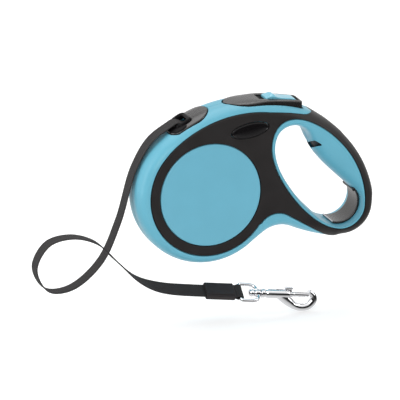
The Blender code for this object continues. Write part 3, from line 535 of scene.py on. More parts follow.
def opened_block(name, side):
    """Half of the housing with the hand opening, whose wall rolls over from the side face."""
    shoulder = [(0.28 * MM, PARTING), (0.06 * MM, PARTING + 0.16 * MM), (0.0, PARTING + 0.4 * MM),
                *skin_rings(0.0, [72.0 * k / 13 for k in range(14)])]
    rings = [[(x, side * y, z) for x, z in grown(OUTLINE, -inset)] for inset, y in shoulder]
    lip = [depth_at(inset_of(p, OUTLINE)) for p in RIM]
    wall, stations = [], 16
    for turn in [math.pi / 2 * k / stations for k in range(stations)]:
        wall.append([(x, side * max(y * math.cos(turn), PARTING + 0.3 * MM), z)
                     for (x, z), y in zip(between(RIM, CORE, math.sin(turn)), lip)])
    wall.append([(x, side * PARTING, z) for x, z in grown(CORE, 0.28 * MM)])
    points, faces, edges = [], [], []
    for stack in (rings, wall):
        rows = []
        for ring in stack:
            rows.append([len(points) + i for i in range(len(ring))])
            points += ring
        faces += [f for a, b in zip(rows, rows[1:]) for f in strips(a, b)]
        edges.append((rows[0], rows[-1]))
    (parting_edge, face_edge), (rim_edge, core_edge) = edges
    loose = []
    for inset, _ in skin_rings(0.0, [76, 80, 85, 90]):
        loose += [p for p in grown(OUTLINE, -inset)
                  if not is_inside(p, RIM) and inset_of(p, RIM) > 0.7 * MM]
    names = face_edge + rim_edge + [len(points) + i for i in range(len(loose))]
    points += [(x, side * depth_at(inset_of((x, z), OUTLINE)), z) for x, z in loose]
    faces += [[names[v] for v in f] for f in fill_between(seen_flat(rings[-1]), RIM, loose)]
    names = parting_edge + core_edge
    faces += [[names[v] for v in f]
              for f in fill_between(seen_flat(rings[0]), seen_flat(wall[-1]), [])]
    return mesh_object(name, points, faces)


def seen_flat(ring):
    """A ring's points in X and Z."""
    return [(p[0], p[2]) for p in ring]


def unfolded(half):
    """A line from the middle outwards, after its mirror image."""
    return [*[(x, -y) for x, y in half[:0:-1]], *half]


def button_plan(grow):
    """The brake button seen from above: a drop with a square rear end."""
    half = [at(*place) for place in (
        (16.4, 0.0), (16.9, 2.4), (18.0, 4.7), (20.2, 7.4), (23.0, 9.6), (26.6, 11.5),
        (32.0, 12.8), (38.0, 12.9), (44.0, 12.5), (51.0, 11.9), (60.0, 11.0), (69.0, 9.8),
        (75.2, 8.8), (76.6, 8.1), (77.0, 7.0))]
    return grown(unfolded(half)[::-1], grow)


def leaning(place, angle):
    """The matrix of a place in X and Z, turned about Y."""
    return Matrix.Translation((place[0], 0, place[1])) @ Matrix.Rotation(angle, 4, "Y")


def nozzle_matrix():
    """Local X runs down the tape's way out, local Z is the skin's outward normal."""
    return leaning(NOZZLE_CENTRE, math.pi / 2 - NOZZLE_ANGLE) @ Matrix.Rotation(math.pi, 4, "Z")


def nozzle_plan(grow):
    """The nozzle cap seen square on: straight sides, a round rear end, a rounded front."""
    rear = [(-8.5 * MM + y, x) for x, y in arc((0, 0), 13.5 * MM, 360, 180, 40)]
    front = [at(13.0, 0), at(13.0, 6.4), at(12.4, 9.0), at(10.4, 11.6), at(8.0, 13.2)]
    return grown([*rear, *unfolded(front)], grow)


SCREW_PLACES = [node_centre(f"housing_screw_{i}") for i in range(1, 7)]
SCREW_HEAD, SCREW_BOSS = 2.9 * MM, 3.2 * MM
LIP_WIDTH = 0.9 * MM  # blue lip between the soft cover and the hand opening


def screw_rods(name, radius, low, high, steps, places):
    """Round bars along the screws' axes."""
    return [rod(f"{name}_{i}", radius, (p.x, low, p.z), (p.x, high, p.z), steps)
            for i, p in enumerate(places)]


def shell(word, side):
    """A hollow blue housing half with a recess for the soft cover."""
    block = opened_block(f"shell_{word}", side)
    low, high, beyond = side * -1 * MM, side * 14.4 * MM, side * 30 * MM
    wall, under_cover, hollow = 2.4 * MM, 1.8 * MM, 3.8 * MM  # depths under the skin
    under = half_block("under_cover", side, -under_cover, 8)
    recess = flared("cover_recess", grown(cover_outline(), SEAM), side, 0.35 * MM)
    cut(recess, flared("kept_lip", grown(RIM, LIP_WIDTH), side, -0.3 * MM), under)
    cavity = half_block("cavity", side, -hollow, 6)
    moved(cavity, Matrix.Translation((0, -side * 0.5 * MM, 0)))
    cut(cavity, prism("hole_wall", grown(CORE, wall), side * -2 * MM, beyond),
        grip_crown("crown_wall", side, wall))
    cut(cavity, *screw_rods("boss", SCREW_BOSS, low, beyond, 20, SCREW_PLACES),
        rod("axle_boss", 8 * MM, (0, side * 11 * MM, 0), (0, beyond, 0), 40))
    cut(block, recess, cavity,
        rod("axle_bore", 4.3 * MM, (0, side * 9 * MM, 0), (0, side * 14.5 * MM, 0), 40),
        nozzle_recess(), nozzle_slot(),
        upright_prism("button_slot", button_plan(1.0 * MM), 56.3 * MM, 90 * MM),
        grip_slot(side), *screw_rods("screw_bore", 1.5 * MM, low, high, 16, SCREW_PLACES))
    if side == RIGHT:
        cut(block, *screw_rods("seat", SCREW_HEAD, 9 * MM, 30 * MM, 32, SCREW_PLACES))
    made(block, "housing", "housing_plastic", f"housing_shell_{word}")


def between(rim, core, share):
    """The hand opening's outline, a share of the way from rim to core."""
    return [(rx + (cx - rx) * share, rz + (cz - rz) * share)
            for (rx, rz), (cx, cz) in zip(rim, core)]


def grip_crown(name, side, wall):
    """The hand opening's wall, grown: what the cavity has to stay clear of."""
    rim, core = grown(RIM, wall), grown(CORE, wall)
    rings = []
    for turn in [math.pi / 2 * k / 8 for k in range(9)]:
        y = side * (FACE + MM) * math.sin(turn) - side * 0.6 * MM
        rings.append([(x, y, z) for x, z in between(rim, core, math.cos(turn))])
    return loft(name, rings)


def grip_slot(side):
    """The slot across the grip's crest, rising a little to each side."""
    slot = box("grip_slot", mm(79.5, -15.5, -2.3), mm(99.0, 3.0, 2.3))
    softened(slot, 1.5 * MM, 4)
    turn = Matrix.Rotation(math.radians(21.0) * side, 4, "X")
    if side == RIGHT:  # turned over, so that it starts at the other side
        moved(slot, Matrix.Rotation(math.pi, 4, "X"))
    return moved(slot, Matrix.Translation(mm(0, 0, 25.3)) @ turn)


def painted_slot_shade(word, side):
    """A dark block set back in the slot: painted shade for the dark hollow behind it."""
    shade_piece = grip_slot(side)
    shade_piece.name = f"painted_slot_shade_{word}"
    cut(shade_piece, grip_crown("slot_front", side, 2.0 * MM),
        box("slot_middle", mm(60, -0.3, 0), mm(120, 0.3, 60)),
        box("slot_beyond", mm(60, min(-side * 30, 0), 0), mm(120, max(-side * 30, 0), 60)))
    made(shade_piece, "housing", "soft_cover")


def nozzle_recess():
    """The hollow in the skin that the nozzle cap lies in."""
    recess = moved(upright_prism("nozzle_recess", nozzle_plan(0.65 * MM), -20 * MM, 20 * MM),
                   nozzle_matrix())
    return cut(recess, full_block("nozzle_floor", -1.9 * MM, 8))


def nozzle_slot():
    """The tape's way through the shells."""
    slot = box("nozzle_slot", mm(-7.0, -10.3, -12.0), mm(7.0, 10.3, 12.0))
    return moved(slot, nozzle_matrix())


# ---- soft covers, discs, badges
BADGE_CENTRE = node_centre("badge_left")
BADGE_LONG, BADGE_SHORT, BADGE_TILT = 15.0 * MM, 5.6 * MM, math.radians(8)


def badge_oval(grow):
    """The badge's outline, grown."""
    lean_x, lean_z = math.cos(BADGE_TILT), math.sin(BADGE_TILT)
    points = []
    for t in turns(72):
        u, v = (BADGE_LONG + grow) * math.cos(t), (BADGE_SHORT + grow) * math.sin(t)
        points.append((BADGE_CENTRE.x + u * lean_x - v * lean_z,
                       BADGE_CENTRE.z + u * lean_z + v * lean_x))
    return points


def soft_cover(word, side):
    """The soft black skin over one side and round half of the handle."""
    cover = half_block(f"cover_{word}", side, PROUD)
    boolean(cover, "INTERSECT", flared("cover_mask", cover_outline(), side, -0.45 * MM))
    circle = arc((0, 0), DISC_RADIUS + SEAM, 0, 357, 119)
    opening = flared("disc_opening", circle, side, 0.4 * MM)
    oval = flared("badge_opening", badge_oval(SEAM), side, 0.3 * MM)
    hand = flared("hand_opening", grown(RIM, LIP_WIDTH + SEAM), side, 0.4 * MM)
    cut(cover, half_block("cover_inside", side, -1.5 * MM, 10), opening, oval, hand,
        box("cover_seam", mm(-100, -0.4, -100), mm(200, 0.4, 100)))
    if side == RIGHT:
        cut(cover, *screw_rods("seat", SCREW_BOSS, 9 * MM, 30 * MM, 32, SCREW_PLACES[3:]))
    made(cover, "housing", "soft_cover", f"soft_cover_{word}")


def side_disc(word, side):
    """The round side panel: slightly crowned, with a rolled edge."""
    crown, roll = 0.7 * MM, 1.1 * MM
    top = FACE + 0.25 * MM
    flat = DISC_RADIUS - roll
    profile = [(0, top + crown)]
    profile += [(flat * k / 12, top + crown * (1 - (k / 12) ** 2)) for k in range(1, 13)]
    profile += [(flat + roll * math.sin(t), top - 0.75 * roll * (1 - math.cos(t)))
                for t in (math.radians(15 * k) for k in range(1, 7))]
    back = FACE - 1.5 * MM
    profile += [(DISC_RADIUS, back), (0, back)]
    disc = turned(f"disc_{word}", [(r, side * y) for r, y in profile], 180)
    made(disc, "housing", "disc_plastic", f"side_disc_{word}")


def badge(word, side):
    """A blank domed oval with a fine raised rim."""
    rings = [(0.0, -1.3), (0.0, 0.25), (-0.15, 0.42), (-0.45, 0.5), (-0.85, 0.42), (-1.05, 0.25),
             (-1.6, 0.3), (-2.6, 0.42), (-3.8, 0.5), (-4.8, 0.53), (-5.4, 0.54)]
    loops = [[(x, side * (FACE + y * MM), z) for x, z in badge_oval(grow * MM)]
             for grow, y in rings]
    made(loft(f"badge_plate_{word}", loops), "housing", "gloss_black", f"badge_{word}")


# ---- nozzle
def draped(name, plan, edge, crown, thickness):
    """A cap on the nozzle that follows the housing's skin.

    edge lists (share of the plan's size, height over the skin) from the rim inwards."""
    skin, bm = full_block("skin", 0.0, 20), bmesh.new()
    bm.from_mesh(skin.data)
    tree, matrix = BVHTree.FromBMesh(bm), nozzle_matrix()
    bm.free()
    bpy.data.objects.remove(skin, do_unlink=True)
    down = matrix.to_3x3() @ Vector((0, 0, -1))
    middle = Vector((sum(p[0] for p in plan) / len(plan), sum(p[1] for p in plan) / len(plan)))
    rings = []
    for share, height in [(1.0, -thickness), *edge, *[(s, crown) for s in (0.75, 0.5, 0.25)]]:
        above = [matrix @ Vector((middle.x + (x - middle.x) * share,
                                  middle.y + (y - middle.y) * share, 40 * MM)) for x, y in plan]
        rings.append([tree.ray_cast(point, down)[0] - down * height for point in above])
    return loft(name, rings)


def nozzle_hole(name, length, width, corner):
    """A cutter through the nozzle, by half its length and width in millimetres."""
    outline = ring_outline(length * MM, width * MM, corner * MM, 8)
    return moved(upright_prism(name, outline, -20 * MM, 20 * MM), nozzle_matrix())


def nozzle_cap():
    """The dark cap over the tape's way out."""
    edge = [(1.0, 0.15 * MM), (0.99, 0.45 * MM), (0.97, 0.68 * MM), (0.94, 0.8 * MM)]
    cap = draped("nozzle_cap", nozzle_plan(0.0), edge, 0.85 * MM, 1.4 * MM)
    cut(cap, nozzle_hole("nozzle_opening", 7.1, 10.1, 3.4))
    made(cap, "housing", "dark_grey_plastic", "nozzle_cover")


def ring_outline(half_length, half_width, corner, steps):
    points = []
    for sx, sy, start in ((1, 1, 0), (-1, 1, 90), (-1, -1, 180), (1, -1, 270)):
        centre = (sx * (half_length - corner), sy * (half_width - corner))
        points += arc(centre, corner, start, start + 90, steps)
    return points


def nozzle_ring():
    """The smooth bead that the tape runs out over, and the lip round it."""
    bead = 1.9 * MM
    outline = ring_outline(7.2 * MM - bead, 10.2 * MM - bead, 3.4 * MM, 12)
    rings = [[(x, y, -0.2 * MM + 1.25 * bead * math.sin(t))
              for x, y in grown(outline, bead * math.cos(t))] for t in turns(20)]
    ring = moved(loft("nozzle_ring", rings, looped=True), nozzle_matrix())
    half = [at(*place) for place in (
        (12.5, 0), (12.5, 6.2), (12.0, 8.7), (10.2, 11.1), (8.0, 12.7), (4.0, 13.0), (0.5, 12.6),
        (-0.6, 11.6), (-1.0, 10.0), (-1.0, 0))]
    edge = [(1.0, 0.8 * MM), (0.985, 1.0 * MM), (0.95, 1.1 * MM)]
    lip = draped("nozzle_lip", mirrored(half), edge, 1.1 * MM, -0.2 * MM)
    cut(lip, nozzle_hole("lip_opening", 5.3, 8.3, 2.4))
    # the frame takes a darker, duller copy of the gloss black: painted shade under the tape
    made(join(ring, lip), "housing", "gloss_black", "nozzle_frame", finish="nozzle_shaded_black")


# ---- brake
BUTTON_TOP = [mm(x, 0, z) for x, z in (
    (10, 64.2), (16, 65.6), (24.5, 67.0), (33, 67.6), (41, 67.6), (50, 66.9), (62, 65.4),
    (70, 64.3), (77.5, 63.1), (82, 62.3))]
REAR_FALL = 90.0  # how sharply the button's top falls at its rear end


def height_along(path, x):
    """Height of a line of points at x."""
    for a, b in zip(path, path[1:]):
        if a.x <= x <= b.x:
            return a.z + (b.z - a.z) * (x - a.x) / (b.x - a.x)
    return path[-1].z


def plan_half_width(x, plan):
    """Half the width of a plan outline at x."""
    best = 0.0
    for (ax, ay), (bx, by) in zip(plan, plan[1:] + plan[:1]):
        if (ax - x) * (bx - x) <= 0 and abs(bx - ax) > 1e-9:
            best = max(best, abs(ay + (by - ay) * (x - ax) / (bx - ax)))
    return best


def brake_button():
    """The thumb button: crowned in front, with steep flanks round the lock's recess."""
    plan, ridge = button_plan(0.0), smooth_path(BUTTON_TOP, 12)
    (centre_x, centre_z), radius = SKIN_TOP
    front, rear = 16.4 * MM, 77.0 * MM
    stations = [front + (rear - front) * (1 - math.cos(math.pi * k / 60)) / 2 for k in range(61)]
    stations[0] += 0.05 * MM
    stations[-1] -= 0.05 * MM
    rings = []
    for x in stations:
        half = max(plan_half_width(x, plan), 0.6 * MM)
        top = height_along(ridge, x) - max(0.0, x - 74.5 * MM) ** 2 * REAR_FALL
        skin = centre_z + math.sqrt(radius * radius - (x - centre_x) ** 2)
        foot, edge = skin - 5.0 * MM, skin - depth_drop(half) + 0.25 * MM
        steep = smoothstep((x - 32.0 * MM) / (22.0 * MM))
        flat = 0.60 * half * steep + 0.15 * half * (1 - steep)
        rings.append(button_section(x, half, foot, edge, top, flat, 0.85 - 0.55 * steep))
    button = loft("button_saddle", rings)
    recess = box("lock_recess", mm(-17.0, -6.3, -2.4), mm(15.2, 6.3, 20))
    cut(button, moved(softened(recess, 0.9 * MM), lock_matrix()))
    made(button, "button", "dark_grey_plastic", "brake_button", angle=38)


def depth_drop(y):
    """How far the skin falls from its top line at a distance y from the parting plane."""
    low = FACE - SHOULDER_DEPTH
    if y <= low:
        return 0.0
    share = min((y - low) / SHOULDER_DEPTH, 1.0)
    return SHOULDER_IN * (1 - math.sqrt(1 - share * share))


def smoothstep(t):
    t = min(max(t, 0.0), 1.0)
    return t * t * (3 - 2 * t)


def button_section(x, half, foot, edge, top, flat, power):
    """One cross-section: foot, wall, rounded shoulder and a nearly flat top."""
    right = [(half, foot), (half, edge)]
    for k in range(1, 10):
        t = math.pi / 2 * k / 9
        right.append((flat + (half - flat) * math.cos(t) ** power,
                      edge + (top - edge) * math.sin(t) ** power))
    right += [(flat * 0.6, top), (flat * 0.2, top)]
    return [(x, y, z) for y, z in right + [(-y, z) for y, z in right[::-1]]]


def lock_matrix():
    return leaning(LOCK_CENTRE, LOCK_SLOPE)


def lock_slider():
    """The blue slider: a long low tail and a rounded ridge for the thumb."""
    knots = [mm(x, 0, z) for x, z in (
        (12.9, 0.0), (12.0, 0.6), (6.0, 0.8), (0.6, 0.9), (-1.4, 1.2), (-3.2, 2.0), (-4.8, 2.8),
        (-5.9, 3.05), (-7.0, 2.8), (-8.4, 1.9), (-10.0, 0.9), (-11.4, 0.0))]
    side = [at(-11.3, -1.5), at(12.8, -1.5)]
    side += [(p.x, p.z) for p in smooth_path(knots, 5)]
    half = 5.9 * MM
    rings = []
    for y, pull in ((-1.0, 0.5), (-0.96, 0.2), (-0.88, 0.05), (-0.7, 0.0), (-0.4, -0.03),
                    (0.0, -0.05), (0.4, -0.03), (0.7, 0.0), (0.88, 0.05), (0.96, 0.2), (1.0, 0.5)):
        rise = (1 - abs(y) ** 3) ** 0.55
        rings.append([(x, y * half, min(z, MM) + max(z - MM, 0.0) * rise)
                      for x, z in grown(side, -pull * MM)])
    slider = moved(loft("lock_slider", rings), lock_matrix())
    made(slider, "lock", "lock_plastic", "brake_lock_slider", angle=75)


# ---- grip liner
def grip_liner():
    """The swinging liner at the hand opening's lower end."""
    half, middle, thick = 11.0 * MM, 15.85 * MM, 0.9 * MM
    section = [(half * math.copysign(abs(math.cos(t)) ** 0.16, math.cos(t)),
                thick * math.copysign(abs(math.sin(t)) ** 0.55, math.sin(t))) for t in turns(40)]
    rings, low, high = [], -109, 34
    for turn in [low + (high - low) * i / 70 for i in range(71)]:
        from_end = min(turn - low, high - turn)
        pinch = min(1.0, math.sqrt(max(from_end, 0.0) / 3.0) * 0.75 + 0.25)
        a = math.radians(turn)
        rings.append([(INSERT_CENTRE[0] + (middle + r * pinch) * math.cos(a),
                       y * (0.9 + 0.1 * pinch),
                       INSERT_CENTRE[1] + (middle + r * pinch) * math.sin(a))
                      for y, r in section])
    liner = loft("grip_liner", rings)
    foot = box("liner_foot", mm(-1.6, -10.6, -1.1), mm(2.2, 10.6, 1.6))
    place = (INSERT_CENTRE[0] + 12.6 * MM, INSERT_CENTRE[1] + 8.9 * MM)
    join(liner, moved(softened(foot, 0.7 * MM), leaning(place, math.radians(-35))))
    made(liner, "grip", "dark_grey_plastic", "grip_insert", angle=50)


def grip_pin():
    """The pin that the liner swings on, sunk in its knuckle."""
    centre, reach = node_centre("grip_insert_pin"), 10.4 * MM
    pin = rod("liner_pin", 0.6 * MM, (centre.x, -reach, centre.z), (centre.x, reach, centre.z))
    made(pin, "housing", "steel", "grip_insert_pin")


# ---- tape
def snap_axis():
    return Vector((math.cos(HOOK_SLOPE), 0, -math.sin(HOOK_SLOPE)))


def eye_matrix():
    """Local X is the snap's axis and local Y the tape's width, at the swivel eye's centre."""
    along = snap_axis()
    width = Vector((0, math.cos(EYE_TILT), math.sin(EYE_TILT)))
    width = (width - along * width.dot(along)).normalized()
    turn = Matrix((along, width, along.cross(width))).transposed().to_4x4()
    return Matrix.Translation(HOOK_ORIGIN) @ turn


def snap_matrix():
    return Matrix.Translation(HOOK_ORIGIN) @ Matrix.Rotation(HOOK_SLOPE, 4, "Y")


INNER_KNOTS = [mm(*place) for place in (
    (11.0, 0, 43.4), (-5.0, 0, 50.0), (-14.6, 0, 52.6), (-19.4, 0, 54.6), (-22.4, 0, 54.9))]
DROP_KNOTS = [mm(*place) for place in (
    (-27.0, 0, 52.6), (-41.9, 0, 42.5), (-54.6, 1.2, 21.0), (-65.9, 4.0, -20.0),
    (-80.0, 6.5, -51.4), (-103.0, 5.5, -68.6))]
LOOP_KNOTS = [mm(*place) for place in (
    (-123.5, 2.0, -67.2), (-134.2, -1.5, -47.8), (-125.1, -5.0, -29.0), (-107.5, -8.0, -24.4))]
TAIL_KNOTS = [mm(*place) for place in (
    (-88.5, -9.5, -30.4), (-72.5, -9.5, -46.3), (-55.5, -9.5, -62.6), (-38.0, -9.5, -71.0))]
PER_SPAN = 28
TAPE_SECTION = [(1.0, 0.0), (0.985, 0.34), (0.94, 0.5), (0.86, 0.47), (0.6, 0.44), (0.3, 0.44),
                (0.0, 0.44)]


def tape_path():
    """The tape's middle line and the vector to one edge, from the coil to the sleeve."""
    sleeve_end = HOOK_ORIGIN - snap_axis() * 35.8 * MM
    knots = [*INNER_KNOTS, *DROP_KNOTS, *LOOP_KNOTS, *TAIL_KNOTS, sleeve_end,
             sleeve_end + snap_axis() * 11.0 * MM]
    path = smooth_path(knots, PER_SPAN)
    turned_width = eye_matrix().to_3x3() @ ACROSS
    last = len(path) - 1
    widths = []
    for i in range(len(path)):
        share = smoothstep((i - (last - 4 * PER_SPAN)) / (2.6 * PER_SPAN))
        widths.append(ACROSS.lerp(turned_width, share).normalized())
    return path, widths


def tape_strip(name, path, widths, start, end):
    """A stretch of the tape between two numbers on its path, with raised selvedges."""
    distances = [0.0]
    for a, b in zip(path, path[1:]):
        distances.append(distances[-1] + (b - a).length)
    half, top = TAPE_WIDTH / 2, TAPE_SECTION
    section = top + [(-y, z) for y, z in top[-2::-1]]
    section += [(-y, -z) for y, z in top[1:]] + [(y, -z) for y, z in top[-2:0:-1]]
    rings = []
    for i in range(start, end + 1):
        along = path[min(i + 1, len(path) - 1)] - path[max(i - 1, 0)]
        normal = widths[i].cross(along).normalized()
        rings.append([path[i] + widths[i] * (y * half) + normal * (z * TAPE_THICKNESS)
                      for y, z in section])
    obj = loft(name, rings)
    layer = obj.data.uv_layers.new(name="weave")
    for loop in obj.data.loops:
        row, k = divmod(loop.vertex_index, len(section))
        layer.data[loop.index].uv = (section[k][0] * half / MM, distances[start + row] / MM)
    return obj


def leash_tape():
    """The tape as four stretches, split at the joints; none of them bends."""
    path, widths = tape_path()
    inner, drop, loop = len(INNER_KNOTS), len(DROP_KNOTS), len(LOOP_KNOTS)
    spans = (0.0, inner + 2.6, inner + drop + 1.4, inner + drop + loop + 1.0)
    ends = [int(span * PER_SPAN) for span in spans]
    stretches = [
        ("tape_from_nozzle", "tape_nozzle_bend", mm(-23.5, 0, 55.6), mm(-47.0, 0, 38.0),
         "tape_inner_run", "tape_drop"),
        ("tape_bend_low", "tape_loop_bend", mm(-92.0, 0, -63.0), mm(-114.0, 0, -69.5), "tape_loop"),
        ("tape_bend_high", "tape_tail_bend", mm(-119.0, 0, -25.4), mm(-95.0, 0, -26.4),
         "tape_tail"),
    ]
    for (name, joint, before, after, *nodes), start, end in zip(stretches, ends, ends[1:]):
        link = JOINTS[joint]
        made(tape_strip(name, path, widths, start, end),
             (link["parent"], link["child"], before + AXLE, after + AXLE), "tape", *nodes, angle=60)
    last = tape_strip("tape_to_sleeve", path, widths, ends[-1], len(path) - 1)
    made(last, "tape_lower", "tape", angle=60)


def end_turn():
    """The tape's turn round the eye's bar, with its ends in the sleeve."""
    radius, bar, leg = 2.1 * MM, -7.8 * MM, 0.75 * MM
    leaves = (-22.0, -18.0, -14.5, -12.0)
    points = [Vector((x * MM, 0, leg)) for x in leaves]
    points += [Vector((x, 0, z)) for x, z in arc((bar, 0), radius, 118, -118, 32)]
    points += [Vector((x * MM, 0, -leg)) for x in leaves[::-1]]
    matrix = eye_matrix()
    widths = [matrix.to_3x3() @ ACROSS] * len(points)
    turn = tape_strip("tape_eye_turn", [matrix @ p for p in points], widths, 0, len(points) - 1)
    made(turn, "tape_lower", "tape", "tape_end_loop", angle=60)


def sleeve():
    """The black sleeve: a folded sheet with its free edge on the near side."""
    section = ring_outline(6.9 * MM, 2.2 * MM, 0.8 * MM, 6)
    stations = [(-35.8, 0.86), (-35.55, 0.95), (-35.1, 1.0), (-24.0, 1.0), (-12.8, 1.0),
                (-12.35, 0.95), (-12.1, 0.86)]
    body = loft("sleeve", [[(x * MM, y * share, z * share) for y, z in section]
                           for x, share in stations])
    join(body, *[softened(box("sleeve_flap", mm(-35.3, -5.2, low), mm(-12.6, 6.4, high)),
                          0.35 * MM) for low, high in ((1.8, 2.75), (-2.75, -1.8))])
    cut(body, box("sleeve_hollow", mm(-40, -6.3, -1.6), mm(0, 6.3, 1.6)))
    made(moved(body, eye_matrix()), "tape_lower", "sleeve", "tape_sleeve", angle=40)


# ---- bolt snap
def swept(name, path, sections):
    """A solid along a path in the XZ plane; sections give (half height, half width)."""
    rings = []
    for i, (point, (high, wide)) in enumerate(zip(path, sections)):
        along = (path[min(i + 1, len(path) - 1)] - path[max(i - 1, 0)]).normalized()
        normal = Vector((-along.z, 0, along.x))
        rings.append([point + normal * (high * math.cos(t)) + ACROSS * (wide * math.sin(t))
                      for t in turns(24)])
    return loft(name, rings)


def hook():
    """The snap's barrel and open hook, fused as one casting."""
    body = lathed("snap_hook", [
        (0, 9.1), (2.9, 9.1), (3.4, 9.5), (3.6, 10.0), (3.6, 12.0), (3.3, 12.5), (3.0, 13.1),
        (3.1, 13.7), (3.6, 14.6), (3.75, 16.0), (3.7, 24.0), (3.6, 30.0), (3.3, 32.2),
        (2.9, 33.0), (0, 33.0)], 48)
    spine = [(20.0, 0.0, 2.8, 2.8), (24.0, -0.6, 3.3, 3.2), (28.5, -2.8, 3.9, 3.4),
             (32.7, -5.5, 3.8, 3.4), (37.8, -8.7, 3.05, 3.1), (43.5, -9.9, 3.1, 3.0),
             (49.3, -8.4, 3.25, 2.9), (52.7, -4.0, 3.15, 2.8), (52.1, -0.6, 2.7, 2.7),
             (50.0, 1.6, 2.2, 2.5), (47.9, 2.4, 1.6, 2.1)]
    dense = smooth_path([Vector(values) * MM for values in spine], 8)
    path = [Vector((v[0], 0, v[1])) for v in dense]
    join(body, swept("hook_bend", path, [(v[2], v[3]) for v in dense]))
    cut(body, rod("stem_hole", 2.1 * MM, mm(5, 0, 0), mm(13.0, 0, 0)),
        rod("trigger_bore", 2.4 * MM, mm(14.5, 0, 0), mm(40, 0, 0)),
        rod("bolt_seat", 2.4 * MM, mm(41.0, 0, 0), mm(49.3, 0, 0)),
        box("trigger_slot", mm(21.5, -1.5, 0), mm(40.0, 1.5, 8)))
    cast(body, 0.24 * MM, 5)
    made(moved(body, snap_matrix()), "snap", "chrome", "hook_body", angle=70)


def eye():
    """The swivel eye: a stirrup with a boss for the stem."""
    half = [(-7.8, 0), (-7.8, 5.6), (-7.5, 7.1), (-6.3, 8.0), (-3.0, 8.2), (2.5, 7.9), (5.4, 6.6),
            (6.8, 3.8), (7.0, 0)]
    path = smooth_loop([mm(x, y, 0) for x, y in mirrored(half)], 8)
    wire, rings = 1.45 * MM, []
    for i, point in enumerate(path):
        along = (path[(i + 1) % len(path)] - path[i - 1]).normalized()
        normal = Vector((-along.y, along.x, 0))
        rings.append([point + normal * (wire * math.cos(t)) + Vector((0, 0, wire * math.sin(t)))
                      for t in turns(16)])
    loop = loft("swivel_loop", rings, looped=True)
    join(loop, lathed("eye_boss", [(0, 4.3), (2.6, 4.3), (3.0, 4.7), (3.25, 5.6), (3.25, 7.9),
                                   (3.0, 8.6), (0, 8.6)]))
    cut(loop, rod("eye_bore", 2.05 * MM, mm(0, 0, 0), mm(12.0, 0, 0)))
    cast(loop, 0.2 * MM, 4)
    made(moved(loop, eye_matrix()), "eye", "chrome", "swivel_eye", angle=70)


def stem():
    """The swivel's riveted stem."""
    rivet = lathed("swivel_rivet", [
        (0, -0.4), (1.1, -0.3), (2.0, 0.1), (2.7, 0.8), (3.1, 1.8), (3.1, 2.7), (2.8, 3.4),
        (2.1, 3.7), (1.8, 4.2), (1.8, 12.6), (0, 12.6)])
    made(moved(rivet, snap_matrix()), "snap", "chrome", "swivel_stem", angle=40)


def bolt():
    """The sliding bolt with its thumb tab."""
    body = lathed("snap_bolt", [
        (0, 24.0), (1.7, 24.0), (2.0, 24.4), (2.0, 36.0), (1.85, 36.5), (1.85, 47.6), (1.5, 48.4),
        (0.8, 48.85), (0, 48.9)])
    pad = box("thumb_pad", mm(28.5, -1.9, 3.9), mm(35.0, 1.9, 5.6))
    join(body, box("thumb_tab", mm(28.9, -1.2, 0.5), mm(34.2, 1.2, 4.6)),
         softened(pad, 0.75 * MM, 5))
    cast(body, 0.17 * MM, 3)
    made(moved(body, snap_matrix()), "trigger", "chrome", "trigger_bolt", angle=70)


def spring():
    """The bolt's spring, built at one fixed length; the real one closes up as the bolt is drawn
    back.
    """
    coils, radius, wire, start, end = 4, 1.6 * MM, 0.19 * MM, 15.0 * MM, 23.9 * MM
    rings = []
    for k in range(161):
        share = k / 160
        angle = 2 * math.pi * coils * share
        out = Vector((0, math.cos(angle), math.sin(angle)))
        middle = Vector((start + (end - start) * share, 0, 0)) + out * radius
        rings.append([middle + out * (wire * math.cos(t)) + Vector((wire * math.sin(t), 0, 0))
                      for t in turns(8)])
    matrix = snap_matrix()
    piece = moved(loft("snap_spring", rings), matrix)
    made(piece, "snap", "steel", "trigger_spring", angle=60)
    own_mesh(piece)


# ---- screws
def screw(index, place):
    """A round-headed screw with a cross recess."""
    low, high = (corner.y for corner in node_box(f"housing_screw_{index}"))
    head = high - 1.8 * MM
    profile = [(0, high), (1.0 * MM, high - 0.02 * MM), (1.9 * MM, high - 0.2 * MM),
               (2.4 * MM, high - 0.7 * MM), (2.6 * MM, high - 1.2 * MM), (2.6 * MM, head),
               (1.2 * MM, head), (1.2 * MM, low + MM), (0, low)]
    body = moved(turned(f"screw_{index}", profile, 40),
                 Matrix.Translation((place.x, 0, place.z)))
    for turn in (0, 90):
        slot = box("cross", mm(-1.5, 0, -0.3), mm(1.5, 3, 0.3))
        spin = Matrix.Rotation(math.radians(turn + 17 * index), 4, "Y")
        cut(body, moved(slot, Matrix.Translation((place.x, high - MM, place.z)) @ spin))
    made(body, "housing", "steel", f"housing_screw_{index}")


